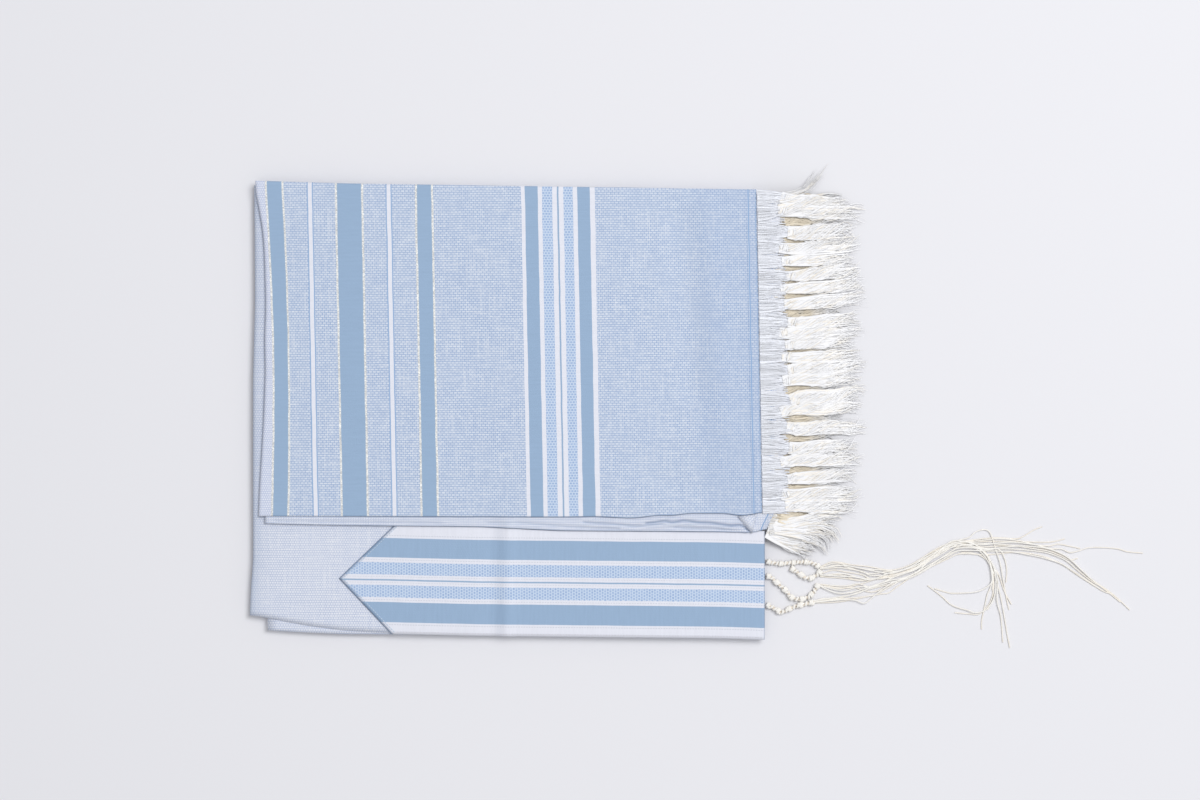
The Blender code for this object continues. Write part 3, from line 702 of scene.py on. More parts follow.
def shell(name, grid, thickness, material, across, upward, marks=None):
    """A sheet of cloth over a grid, with the weave's own place of each point as its UV, in metres."""
    rows, columns = grid.shape[:2]
    number = np.arange(rows * columns).reshape(rows, columns)
    faces = np.stack([number[:-1, :-1], number[:-1, 1:], number[1:, 1:], number[1:, :-1]], axis=-1)
    mesh = bpy.data.meshes.new(name)
    mesh.from_pydata((grid.reshape(-1, 3) * MM).tolist(), [], faces.reshape(-1, 4).tolist())
    corners = np.empty(len(mesh.loops), int)
    mesh.loops.foreach_get("vertex_index", corners)
    weave = np.stack([across, upward], axis=-1).reshape(-1, 2) * MM
    mesh.uv_layers.new(name="weave").data.foreach_set("uv", weave[corners].ravel())
    for mark, values in (marks or {}).items():
        mesh.attributes.new(mark, "FLOAT", "POINT").data.foreach_set("value", np.ravel(values))
    mesh.materials.append(material)
    mesh.shade_smooth()
    piece = add_object(name, mesh)
    if thickness:
        wall = piece.modifiers.new("cloth thickness", "SOLIDIFY")
        wall.thickness = thickness * MM
        wall.offset = -1
        wall.use_even_offset = False
    print(name, columns, "x", rows, "points")
    return piece


print("grid and shell ready")

# %% [markdown]
# ## The woven finishes
# Two yarns make this cloth: blue across it, white along it. On the face the white floats over the
# blue in short staggered dashes, and on the back the floats are closer and the cloth is paler. A
# Brick Texture draws staggered floats directly: a brick is a float, and the mortar is the yarn that
# shows between. Stripes are bands of the same cloth's places, each tested by one Compare node:
# smooth blue or white satin, metal thread with painted glints, raised dark threads, some of which
# are painted shadow lines beside the white cords, and honeycomb figures.

# %% Woven cloth with its stripes
WHITE_SATIN = (0.775, 0.790, 0.870)
BLUE_SATIN = (0.310, 0.436, 0.612)
# EDGE_SHADE is the dark blue that painted shade mixes in at folds, creases and turned edges.
EDGE_SHADE = (0.20, 0.28, 0.42)


def inside_bands(tree, place, bands):
    """1 inside any of the bands, (start, end) in millimetres, and 0 outside."""
    found = None
    for start, end in bands:
        hit = add_node(tree, "ShaderNodeMath", {0: place, 1: (start + end) / 2, 2: (end - start) / 2},
                       operation="COMPARE").outputs[0]
        found = hit if found is None else calc(tree, "MAXIMUM", found, hit)
    return found


def blend_colour(tree, share, first, second):
    given = {0: share}
    for place, value in ((6, first), (7, second)):
        given[place] = value if isinstance(value, bpy.types.NodeSocket) else (*value, 1)
    return add_node(tree, "ShaderNodeMix", given, data_type="RGBA").outputs[2]


def floats(tree, place, size, gap, softness, float_colours, between):
    """Staggered floats: their size across and up, in millimetres, and the colours of both yarns."""
    return add_node(tree, "ShaderNodeTexBrick", {
        "Vector": place, "Color1": (*float_colours[0], 1), "Color2": (*float_colours[1], 1),
        "Mortar": (*between, 1), "Scale": 1.0, "Mortar Size": gap, "Mortar Smooth": softness,
        "Bias": 0.0, "Brick Width": size[0], "Row Height": size[1]}, offset=0.5)


def woven_cloth(name, ground, stripes, stripes_run_up=True, painted_shade_name=None, wobble=0.25):
    """A woven finish; ground is (float size, gap, float colours, colour between)."""
    made = bpy.data.materials.new(name)
    made.use_nodes = True
    tree = made.node_tree
    shader = tree.nodes["Principled BSDF"]
    metres = add_node(tree, "ShaderNodeUVMap", uv_map="weave").outputs[0]
    even = add_node(tree, "ShaderNodeVectorMath", {0: metres, "Scale": 1000.0}, operation="SCALE").outputs[0]
    drift = add_node(tree, "ShaderNodeTexNoise", {"Vector": even, "Scale": 0.045, "Detail": 2.0})
    shift = add_node(tree, "ShaderNodeVectorMath", {0: drift.outputs["Color"], 1: (0.5, 0.5, 0.5)},
                     operation="SUBTRACT")
    shift = add_node(tree, "ShaderNodeVectorMath", {0: shift.outputs[0], "Scale": wobble * 4},
                     operation="SCALE")
    place = add_node(tree, "ShaderNodeVectorMath", {0: even, 1: shift.outputs[0]}, operation="ADD").outputs[0]
    split = add_node(tree, "ShaderNodeSeparateXYZ", {0: place}).outputs
    across, up = (split["X"], split["Y"]) if stripes_run_up else (split["Y"], split["X"])

    size, gap, float_colours, between = ground
    weave = floats(tree, place, size, gap, 0.35, float_colours, between)
    uneven = add_node(tree, "ShaderNodeTexNoise", {"Vector": even, "Scale": 0.02, "Detail": 4.0,
                                                   "Roughness": 0.6})
    streak_place = add_node(tree, "ShaderNodeVectorMath", {0: even, 1: (0.28, 0.012, 1.0)},
                            operation="MULTIPLY")
    streaks = add_node(tree, "ShaderNodeTexNoise", {"Vector": streak_place.outputs[0], "Scale": 1.0,
                                                    "Detail": 2.0})
    mood = calc(tree, "ADD", calc(tree, "MULTIPLY_ADD", uneven.outputs[0], 0.5, -0.25),
                calc(tree, "MULTIPLY_ADD", streaks.outputs[0], 0.5, -0.25))
    soft = tuple(0.6 * a + 0.4 * b for a, b in zip(float_colours[0], between))
    fade = calc(tree, "MULTIPLY_ADD", mood, 1.2, 0.22)
    fade.node.use_clamp = True
    colour = blend_colour(tree, fade, weave.outputs["Color"], soft)
    for stretch in ((1.1, 0.03, 1.0), (0.05, 0.9, 1.0)):
        thread_place = add_node(tree, "ShaderNodeVectorMath", {0: even, 1: stretch}, operation="MULTIPLY")
        thick = add_node(tree, "ShaderNodeTexNoise", {"Vector": thread_place.outputs[0], "Scale": 1.0,
                                                      "Detail": 1.0})
        pale = calc(tree, "MULTIPLY_ADD", thick.outputs[0], 1.5, -0.80)
        pale.node.use_clamp = True
        colour = blend_colour(tree, pale, colour, tuple(0.35 * part + 0.60 for part in float_colours[0]))
    height = calc(tree, "MULTIPLY", weave.outputs["Fac"], -0.5)
    smooth_share = None

    # Painted shade: over a band of places before the hem the colour is painted darker, towards the yarn
    # between the floats.
    if "shade_before_hem" in stripes:
        start, end = stripes["shade_before_hem"]
        depth = add_node(tree, "ShaderNodeMapRange", {"Value": across, "From Min": start, "From Max": end,
                                                      "To Max": 0.16}, interpolation_type="SMOOTHSTEP")
        colour = blend_colour(tree, depth.outputs[0], colour, between)
    if "pale" in stripes:
        margin = floats(tree, place, (1.9, 1.9), 0.35, 0.5, ((0.76, 0.79, 0.88), (0.69, 0.73, 0.84)),
                        (0.50, 0.56, 0.74))
        colour = blend_colour(tree, inside_bands(tree, across, stripes["pale"]), colour,
                              margin.outputs["Color"])
    if "honeycomb" in stripes:
        scallop = calc(tree, "MULTIPLY", calc(tree, "SINE", calc(tree, "MULTIPLY", up, math.tau / 3.4)), 0.4)
        hit = inside_bands(tree, calc(tree, "ADD", across, scallop), stripes["honeycomb"])
        turned = place if stripes_run_up else add_node(
            tree, "ShaderNodeCombineXYZ", {0: split["Y"], 1: split["X"]}).outputs[0]
        cells = floats(tree, turned, (2.5, 2.2), 0.42, 0.45, ((0.33, 0.45, 0.68), (0.40, 0.52, 0.74)),
                       (0.60, 0.70, 0.845))
        colour = blend_colour(tree, hit, colour, cells.outputs["Color"])
    rib = add_node(tree, "ShaderNodeMath", {0: calc(tree, "MULTIPLY", up, math.tau / 1.3)}, operation="SINE")
    rib_noise = add_node(tree, "ShaderNodeCombineXYZ", {0: calc(tree, "MULTIPLY", up, 0.55),
                                                        1: calc(tree, "MULTIPLY", across, 0.05)})
    rib_noise = add_node(tree, "ShaderNodeTexNoise", {"Vector": rib_noise.outputs[0], "Scale": 1.0,
                                                      "Detail": 3.0}).outputs[0]
    for kind, satin in (("white", WHITE_SATIN), ("blue", BLUE_SATIN)):
        if kind in stripes:
            hit = inside_bands(tree, across, stripes[kind])
            dark = tuple(part * 0.93 for part in satin)
            light = tuple(min(1.0, part * 1.05) for part in satin)
            tinted = blend_colour(tree, rib_noise, dark, light)
            colour = blend_colour(tree, hit, colour, tinted)
            height = calc(tree, "ADD", height, calc(tree, "MULTIPLY", hit, 0.35))
            smooth_share = hit if smooth_share is None else calc(tree, "MAXIMUM", smooth_share, hit)
    # The dark thread colour draws real dark threads, such as the hem's, and beside the white cords it is
    # painted shadow.
    for kind, dark in (("thread", (0.29, 0.43, 0.66)), ("faint", (0.60, 0.62, 0.70))):
        if kind in stripes:
            hit = inside_bands(tree, across, stripes[kind])
            if kind == "faint":
                dotted = calc(tree, "GREATER_THAN",
                              calc(tree, "FRACT", calc(tree, "MULTIPLY", up, 0.45)), 0.35)
                hit = calc(tree, "MULTIPLY", hit, dotted)
            colour = blend_colour(tree, hit, colour, dark)
            height = calc(tree, "ADD", height, calc(tree, "MULTIPLY", hit, -0.6))
    metal = None
    if "lurex" in stripes:
        metal = inside_bands(tree, across, stripes["lurex"])
        # The metal thread's flecks are painted glints: a random cell pattern paints its base colour from grey
        # to near white.
        fleck_place = add_node(tree, "ShaderNodeVectorMath", {0: even, 1: (0.9, 1.2, 1.0)},
                               operation="MULTIPLY")
        fleck = add_node(tree, "ShaderNodeTexVoronoi", {"Vector": fleck_place.outputs[0], "Scale": 1.0})
        glint = add_node(tree, "ShaderNodeSeparateColor", {0: fleck.outputs["Color"]}).outputs[0]
        glint = calc(tree, "POWER", glint, 1.3)
        colour = blend_colour(tree, metal, colour, blend_colour(tree, glint, (0.58, 0.59, 0.60),
                                                                (0.97, 0.97, 0.94)))
        height = calc(tree, "ADD", height, calc(tree, "MULTIPLY", metal, glint))
    if painted_shade_name:
        # Painted shade: a value stored on each point darkens the colour towards EDGE_SHADE at folds, creases
        # and edges.
        mark = add_node(tree, "ShaderNodeAttribute", attribute_name=painted_shade_name).outputs["Fac"]
        colour = blend_colour(tree, mark, colour, EDGE_SHADE)
    tree.links.new(colour, shader.inputs["Base Color"])
    if smooth_share is not None:
        tree.links.new(calc(tree, "MULTIPLY_ADD", smooth_share, -0.22, 0.86), shader.inputs["Roughness"])
    else:
        shader.inputs["Roughness"].default_value = 0.88
    if metal is not None:
        tree.links.new(calc(tree, "MULTIPLY", metal, 0.12), shader.inputs["Metallic"])
    height = calc(tree, "ADD", height, calc(tree, "MULTIPLY", rib.outputs[0], 0.08))
    bump = add_node(tree, "ShaderNodeBump", {"Height": height, "Strength": 0.35, "Distance": 0.0002})
    tree.links.new(bump.outputs[0], shader.inputs["Normal"])
    shader.inputs["Specular IOR Level"].default_value = 0.25
    shader.inputs["Sheen Weight"].default_value = 0.08
    shader.inputs["Sheen Roughness"].default_value = 0.5
    return made


# Float size, gap, float colours and the colour between them.
FACE_GROUND = ((3.3, 1.95), 0.32, ((0.675, 0.735, 0.835), (0.540, 0.612, 0.752)), (0.265, 0.378, 0.600))
BACK_GROUND = ((2.1, 2.0), 0.34, ((0.790, 0.815, 0.885), (0.715, 0.750, 0.845)), (0.455, 0.520, 0.685))
print("woven cloth ready")

# %% [markdown]
# ## The stripes of the end panel
# The warp of a tallit changes colour where the stripes are, so they run from selvedge to selvedge and
# keep their places whatever the folds do. Places are counted from the panel's left side at its top,
# and the panel lies slightly turned, so the pattern leans 5 mm over its height.

# %% Stripes across the shawl's end
# Left group: three smooth blue stripes between metal threads, and two raised white cords.
LUREX = [(-247.7, -246.0), (-233.9, -232.2), (-188.8, -187.1), (-166.9, -165.1), (-121.8, -120.0),
         (-108.0, -106.3)]
PALE_MARGIN = [(-264.0, -247.7)]
# Places in millimetres over which the painted shade before the hem grows to its full share.
PAINTED_SHADE_BEFORE_HEM = (104.0, 124.0)
BLUE_LEFT = [(-246.0, -233.9), (-187.1, -166.9), (-120.0, -108.0)]
WHITE_CORDS = [(-211.6, -208.2), (-145.4, -142.0)]
# Painted shadow lines along both sides of each white cord, in the dark thread colour.
CORD_SHADOWS = [(-212.5, -211.6), (-208.2, -207.3), (-146.3, -145.4), (-142.0, -141.1)]
# Right group, symmetrical about its thin blue line.
BLUE_RIGHT = [(-29.2, -18.4), (-2.2, -0.8), (14.9, 25.4)]
WHITE_RIGHT = [(-32.4, -29.2), (-18.4, -14.8), (-6.2, -2.2), (-0.8, 3.2), (11.2, 14.9), (25.4, 29.6)]
HONEYCOMB_RIGHT = [(-14.8, -6.2), (3.2, 11.2)]
HEM_THREADS = [(158.1, 159.1), (164.3, 164.7)]
FACE_WEAVE = woven_cloth("shawl face", FACE_GROUND, {
    "honeycomb": HONEYCOMB_RIGHT, "white": WHITE_CORDS + WHITE_RIGHT, "blue": BLUE_LEFT + BLUE_RIGHT,
    "thread": CORD_SHADOWS + HEM_THREADS, "lurex": LUREX, "pale": PALE_MARGIN, "shade_before_hem": PAINTED_SHADE_BEFORE_HEM},
    painted_shade_name="edge_line")
BACK_WEAVE = woven_cloth("shawl back", BACK_GROUND, {}, painted_shade_name="edge_line")
print("stripes on the face:", len(BLUE_LEFT + BLUE_RIGHT + WHITE_CORDS + WHITE_RIGHT + LUREX))

# %% [markdown]
# ## The folded layers
# Most of the shawl is hidden, but its folds show as a stack of soft round edges at the sides. Each
# pair of hidden layers is a flat pillow with a half-round rim whose outline wanders a little, so that
# no two line up.

# %% The hidden layers, as a stack of pillows
# Middle height, and how far each side stands out: left, right, bottom and top.
CORE_LAYERS = [
    (0.7, -253.0, 168.0, -190.5, 174.5),
    (2.0, -254.5, 169.5, -191.5, 176.0),
    (3.3, -252.5, 168.5, -190.5, 173.5),
    (4.6, -253.5, 169.5, -191.0, 175.0),
]
LAYER_HALF = 0.66


def pillow(number, middle, left, right, bottom, top):
    """A flat closed slab with a half-round rim."""
    outline = [(right, top - 8), (right - 2, top - 2), (right - 8, top), (left + 8, top), (left + 2, top - 2),
               (left, top - 8), (left, bottom + 27), (left + 2, bottom + 21), (left + 15, bottom + 3),
               (left + 22, bottom), (right - 8, bottom), (right - 2, bottom + 2), (right, bottom + 8)]
    outline = np.array(outline + outline[:1])
    travelled = np.concatenate([[0], np.cumsum(np.linalg.norm(np.diff(outline, axis=0), axis=1))])
    wanted = np.linspace(0, travelled[-1], 260, endpoint=False)
    ring = np.column_stack([np.interp(wanted, travelled, column) for column in outline.T])
    centre = np.array([(left + right) / 2, (bottom + top) / 2])
    sway = 0.55 * np.sin(wanted / 61 + number * 2.1) + 0.3 * np.sin(wanted / 23 + number)
    outward = (ring - centre) / np.linalg.norm(ring - centre, axis=1)[:, None]
    ring = ring + outward * (sway - 0.6)[:, None]
    points, faces = [], []
    profile = [(-3.0, -1.0), (-0.9, -0.98), (-0.35, -0.75), (0.0, 0.0),
               (-0.35, 0.75), (-0.9, 0.98), (-3.0, 1.0)]
    for inward, share in profile:
        for (x, y), (out_x, out_y) in zip(ring, outward):
            points.append((x + out_x * inward, y + out_y * inward, middle + share * LAYER_HALF))
    count = len(ring)
    for row in range(len(profile) - 1):
        for column in range(count):
            after = (column + 1) % count
            faces.append((row * count + column, row * count + after, (row + 1) * count + after,
                          (row + 1) * count + column))
    faces.append(tuple(reversed(range(count))))
    faces.append(tuple(range((len(profile) - 1) * count, len(profile) * count)))
    mesh = bpy.data.meshes.new("pillow")
    mesh.from_pydata([(x * MM, y * MM, max(z, 0.02) * MM) for x, y, z in points], [], faces)
    corners = [mesh.vertices[index].co for face in mesh.polygons for index in face.vertices]
    flat = [value for x, y, _z in corners for value in (x, y)]
    mesh.uv_layers.new(name="weave").data.foreach_set("uv", flat)
    mesh.materials.append(BACK_WEAVE)
    return mesh


folded_layers = join("hidden_layers", [pillow(number, *row) for number, row in enumerate(CORE_LAYERS)])
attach(folded_layers, "root")
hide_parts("folded_layers")
print(folded_layers.name, triangles(folded_layers), "triangles")

# %% The layer under the neck panel, and the neck panel
under_grid, _ = cloth_grid((UNDER_LEFT, UNDER_RIGHT, UNDER_BOTTOM, UNDER_TOP_EDGE), 9.0, (),
                           lambda x, y: UNDER_TOP + relief(x, y), fine_y=[(0, 16, 2.5)])
under_layer = shell("under_layer_cloth", under_grid, CLOTH, BACK_WEAVE, under_grid[..., 0],
                    under_grid[..., 1])
neck_grid, neck_reach = cloth_grid((NECK_LEFT, NECK_RIGHT, NECK_BOTTOM, NECK_TOP_EDGE), 5.0,
                                   ("left", "right", "top"), lambda x, y: NECK_TOP + relief(x, y),
                                   fine_x=[(0, 24, 1.2)])
# Painted shade on the neck panel: a shadow line beside the end panel's left fold, and darker towards the
# panel's own rolled left side.
beside_fold = np.abs(neck_grid[..., 0] - along(END_LEFT, neck_grid[..., 1]))
neck_shade = 0.30 * np.exp(-((beside_fold / 2.5) ** 2)) * (neck_grid[..., 1] > -97)
neck_shade = np.maximum(neck_shade, 0.40 * np.exp(-neck_reach["left"] / 6))
neck_panel = shell("neck_panel_cloth", neck_grid, CLOTH, BACK_WEAVE,
                   neck_grid[..., 0] + 0.02 * neck_grid[..., 1],
                   neck_grid[..., 1], {"edge_line": neck_shade})
for piece, node, flat, below in ((under_layer, "under_layer", (0.42, 0.37), folded_layers),
                                 (neck_panel, "neck_panel", (0.43, 0.38), under_layer)):
    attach(piece, "root")
    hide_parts(node)

# %% [markdown]
# ## The turned strip
# Under the end panel the next layer turns back on itself, and a narrow puckered strip of its pale
# back shows between the panel and the neckband. Its creases are narrow grooves along given lines
# with a soft swell on each side. Where the strip meets the hem a corner of it folds over in a small
# pointed flap.

# %% The strip with its creases and its corner flap
# Lines of the creases: x and y, with their depth and half width.
STRIP_CREASES = [
    ([(72, -103.0), (80, -102.2), (88, -101.0), (95, -102.2), (105, -100.7), (116, -102.2), (126, -102.6),
      (135, -103.7), (144, -105.0), (153, -104.8), (160, -109.8)], 1.0, 1.0),
    ([(20, -102.0), (33, -103.0), (47, -103.7), (63, -105.3), (77, -104.2), (87, -103.1)], 0.6, 1.0),
    ([(96, -106.4), (112, -107.2), (130, -107.8), (146, -108.6)], 0.45, 1.2),
    ([(-60, -102.6), (-35, -102.4), (-5, -104.8), (22, -106.6), (50, -107.6)], 0.35, 1.3),
    ([(-240, -100.6), (-200, -101.4), (-150, -102.0), (-100, -102.8)], 0.3, 1.3),
]


def creases(x, y):
    """Depth of the creases, with a low swell beside each, and the share of painted shade along each groove.
    """
    depth, shade = 0.0 * x, 0.0 * x
    for route, deep, half_width in STRIP_CREASES:
        line = smooth_route(route, 1.5)
        near = np.full(x.shape, 1e9)
        for (x0, y0), (x1, y1) in zip(line, line[1:]):
            near = np.minimum(near, segment_distance(x, y, x0, y0, x1, y1))
        groove = np.exp(-((near / half_width) ** 2))
        swell = np.exp(-(((near - 2.4) / 1.3) ** 2))
        depth = depth + 1.5 * deep * (groove - 0.55 * swell)
        shade = np.maximum(shade, min(0.75, 0.8 * deep) * groove**2)
    return depth, shade


def strip_height(x, y):
    out = np.clip((-96.0 - y) / 3.0, 0, 1)
    hump = np.sin(np.clip((-96.0 - y) / 13.0, 0, 1) * math.pi)
    return UNDERFOLD_TOP + relief(x, y) + out * (0.3 * hump - creases(x, y)[0])


strip_grid, strip_reach = cloth_grid(
    (UNDERFOLD_LEFT, UNDERFOLD_RIGHT, UNDERFOLD_BOTTOM, UNDERFOLD_TOP_EDGE), 14.0, (), strip_height,
    fine_x=[(0, 428, 2.5)], fine_y=[(0, 17, 0.45)])
HEM_WEAVE = woven_cloth("shawl back with hem", BACK_GROUND, {"thread": [(-5.2, -4.2)]},
                        painted_shade_name="edge_line")
# A painted shadow line along the strip's lower edge, fainter towards its left end.
strip_underside_painted_shadow = 0.85 * np.interp(strip_grid[..., 0], [-195, -165], [0.45, 1.0])
strip_shade = np.maximum(creases(strip_grid[..., 0], strip_grid[..., 1])[1],
                         strip_underside_painted_shadow * np.clip(1 - strip_reach["bottom"], 0, 1))
# Painted shade: a little over the whole strip, and more towards its right end.
strip_shade = np.maximum(strip_shade, 0.04)
strip_shade = np.maximum(strip_shade, 0.30 * np.exp(-((strip_reach["right"] + 0.0) / 4.5) ** 2))
strip = shell("turned_strip_cloth", strip_grid, CLOTH, HEM_WEAVE, -strip_reach["right"], strip_grid[..., 1],
              {"edge_line": strip_shade})
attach(strip, "root")
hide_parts("underfold")

FLAP = [(150.0, -97.0), (157.5, -96.4), (166.0, -95.5), (164.8, -100.5), (163.6, -106.0), (162.6, -111.4),
        (158.0, -106.6), (153.6, -101.6)]
flap_points = [(x, y, UNDERFOLD_TOP + 1.35 + 0.25 * math.sin(x * 0.9)) for x, y in FLAP]
flap_points.append((159.5, -101.0, UNDERFOLD_TOP + 1.9))
flap_mesh = bpy.data.meshes.new("corner flap")
flap_mesh.from_pydata([(x * MM, y * MM, z * MM) for x, y, z in flap_points], [],
                      [(8, (number + 1) % 8, number) for number in range(8)])
flap_uv = flap_mesh.uv_layers.new(name="weave")
for face in flap_mesh.polygons:
    for corner in face.loop_indices:
        x, y, _z = flap_mesh.vertices[flap_mesh.loops[corner].vertex_index].co
        flap_uv.data[corner].uv = (0.7 * x + 0.7 * y, 0.7 * y - 0.7 * x)
flap_mesh.materials.append(BACK_WEAVE)
flap_mesh.shade_smooth()
flap_mesh.flip_normals()
flap = add_object("strip_corner_flap", flap_mesh)
flap_wall = flap.modifiers.new("cloth thickness", "SOLIDIFY")
flap_wall.thickness = 0.8 * MM
flap_wall.offset = -1
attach(flap, "root")

# %% The end panel, face up
# How far the pattern leans to the right from top to bottom, and how far its first stripe bows.
PATTERN_LEAN, FIRST_STRIPE_BOW = 5.05, 3.6


def lean(x, y):
    """How far the pattern has moved to the right of its place at the top; its first stripe bows further."""
    down = (PANEL_TOP - y) / PANEL_TALL
    near_fold = np.clip((-212 - x) / 20, 0, 1)
    bow = FIRST_STRIPE_BOW * np.sin(math.pi * np.clip(down, 0, 1)) * near_fold
    return PATTERN_LEAN * down + bow


end_grid, end_reach = cloth_grid(
    (END_LEFT, END_RIGHT, END_BOTTOM, END_TOP_EDGE), 3.6, ("left", "top"),
    lambda x, y: END_TOP + relief(x, y) + 0.5 * np.clip(1 - (y - PANEL_BOTTOM) / 9, 0, 1) ** 2
    * np.sin(x / 9.0) ** 2 * np.clip(x / 40, 0, 1), fine_y=[(0, 8, 1.0)])
# Painted shade: a dark line along the panel's lower edge, where it lies over the turned strip, weaker towards
# the left.
lower_edge_painted_shade = np.clip(1 - end_reach["bottom"] / 0.9, 0, 1) * np.clip((end_grid[..., 0] + 260) / 120, 0.2, 1)
pattern_across = end_grid[..., 0] - lean(end_grid[..., 0], end_grid[..., 1])
end_panel = shell("end_panel_cloth", end_grid, CLOTH, FACE_WEAVE, pattern_across,
                  end_grid[..., 1], {"edge_line": lower_edge_painted_shade})
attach(end_panel, "root")
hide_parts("end_panel")

# %% [markdown]
# ## The neckband
# The atara marks which edge is worn at the neck. It is a separate band of smooth weave with a mirror
# row of stripes, its end turned under to a point and stitched down. Its stripes are counted up from
# its lower edge, so they follow that edge as it dips.

# %% The band and its stripes
BAND_WHITE = [(-2.0, 9.9), (26.8, 30.7), (41.2, 44.8), (46.1, 49.9), (60.4, 64.4), (80.8, 95.0)]
BAND_BLUE = [(9.9, 26.8), (44.8, 46.1), (64.4, 80.8)]
BAND_HONEYCOMB = [(30.7, 41.2), (49.9, 60.4)]
BAND_FAINT = [(7.6, 8.2), (28.5, 29.0), (43.0, 43.4), (48.0, 48.4), (62.2, 62.7), (82.6, 83.2)]
BAND_WEAVE = woven_cloth("neckband weave", BACK_GROUND, {
    "honeycomb": BAND_HONEYCOMB, "white": BAND_WHITE, "blue": BAND_BLUE, "faint": BAND_FAINT},
    stripes_run_up=False, painted_shade_name="edge_line", wobble=0.12)
band_grid, band_reach = cloth_grid((BAND_LEFT, BAND_RIGHT, BAND_BOTTOM, BAND_TOP_EDGE), 3.0, ("right",),
                                   lambda x, y: NECKBAND_TOP + relief(x, y), fine_y=[(43, 49, 0.7)])
# Painted shade on the band: dark along its turned left edges and over its right fold, and faint in the dip
# left of its rise.
neckband = shell("neckband_cloth", band_grid, 1.0, BAND_WEAVE, band_grid[..., 0],
                 band_grid[..., 1] - along(BAND_BOTTOM, band_grid[..., 0]),
                 {"edge_line": np.clip(1.25 - band_reach["left"] / 1.3, 0, 1)
                  + 0.6 * np.clip(1 - band_reach["right"] / 1.2, 0, 1)
                  + 0.07 * np.exp(-((band_grid[..., 0] + 51) / 3.5) ** 2)})
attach(neckband, "root")
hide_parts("neckband")

# %% [markdown]
# ## Stitches
# Machine stitches hold the neckband's turned end and its lower edge, and close the shawl's hem. A
# second, smaller tree sets one short rounded stitch at every pitch of a path and turns it along the
# path.

# %% The stitch tree
STITCH_INPUTS = (("Pitch", 0.0024), ("Stitch length", 0.0018), ("Thickness", 0.0003))


def make_stitch_tree():
    tree = bpy.data.node_groups.new("stitches along a path", "GeometryNodeTree")
    tree.interface.new_socket("Path", in_out="INPUT", socket_type="NodeSocketGeometry")
    for name, start in STITCH_INPUTS:
        tree.interface.new_socket(name, in_out="INPUT", socket_type="NodeSocketFloat").default_value = start
    tree.interface.new_socket("Material", in_out="INPUT", socket_type="NodeSocketMaterial")
    tree.interface.new_socket("Stitches made", in_out="OUTPUT", socket_type="NodeSocketGeometry")
    given = add_node(tree, "NodeGroupInput").outputs
    line = add_node(tree, "GeometryNodeMeshToCurve", {"Mesh": given["Path"]})
    places = add_node(tree, "GeometryNodeCurveToPoints", {"Curve": line.outputs[0], "Length": given["Pitch"]},
                      mode="LENGTH")
    half = calc(tree, "MULTIPLY", given["Stitch length"], 0.5)
    front = add_node(tree, "ShaderNodeCombineXYZ", {0: half})
    back = add_node(tree, "ShaderNodeCombineXYZ", {0: calc(tree, "MULTIPLY", half, -1.0)})
    thread = add_node(tree, "GeometryNodeCurvePrimitiveLine",
                      {"Start": back.outputs[0], "End": front.outputs[0]})
    steps = add_node(tree, "GeometryNodeResampleCurve", {"Curve": thread.outputs[0], "Count": 5})
    share = add_node(tree, "GeometryNodeSplineParameter").outputs["Factor"]
    arch = calc(tree, "SINE", calc(tree, "MULTIPLY", share, math.pi))
    width = calc(tree, "MULTIPLY", given["Thickness"], calc(tree, "MULTIPLY_ADD", arch, 0.7, 0.3))
    ring = add_node(tree, "GeometryNodeCurvePrimitiveCircle", {"Resolution": 6, "Radius": 1.0})
    stitch = add_node(tree, "GeometryNodeCurveToMesh",
                      {"Curve": steps.outputs[0], "Profile Curve": ring.outputs[0], "Scale": width,
                       "Fill Caps": True})
    turned = add_node(tree, "FunctionNodeAlignRotationToVector", {"Vector": places.outputs["Tangent"]},
                      axis="X")
    row = add_node(tree, "GeometryNodeInstanceOnPoints", {"Points": places.outputs[0],
                                                          "Instance": stitch.outputs[0],
                                                          "Rotation": turned.outputs[0]})
    real = add_node(tree, "GeometryNodeRealizeInstances", {"Geometry": row.outputs[0]})
    finished = add_node(tree, "GeometryNodeSetMaterial", {"Geometry": real.outputs[0],
                                                          "Material": given["Material"]})
    add_node(tree, "NodeGroupOutput", {0: finished.outputs[0]})
    return tree


STITCH_TREE = make_stitch_tree()
print("stitch tree has", len(STITCH_TREE.nodes), "nodes")

# %% Sewing thread, and the rows of stitches
def thread_material(name, colour):
    made = bpy.data.materials.new(name)
    made.use_nodes = True
    tree = made.node_tree
    shader = tree.nodes["Principled BSDF"]
    place = add_node(tree, "ShaderNodeTexCoord").outputs["Object"]
    tone = add_node(tree, "ShaderNodeTexNoise", {"Vector": place, "Scale": 900.0}).outputs[0]
    dark = tuple(part * 0.75 for part in colour)
    tree.links.new(blend_colour(tree, tone, dark, colour), shader.inputs["Base Color"])
    shader.inputs["Roughness"].default_value = 0.6
    return made


BLUE_THREAD = thread_material("blue sewing thread", (0.36, 0.50, 0.72))
PALE_THREAD = thread_material("pale blue sewing thread", (0.62, 0.74, 0.88))
WHITE_THREAD = thread_material("white sewing thread", (0.78, 0.78, 0.84))


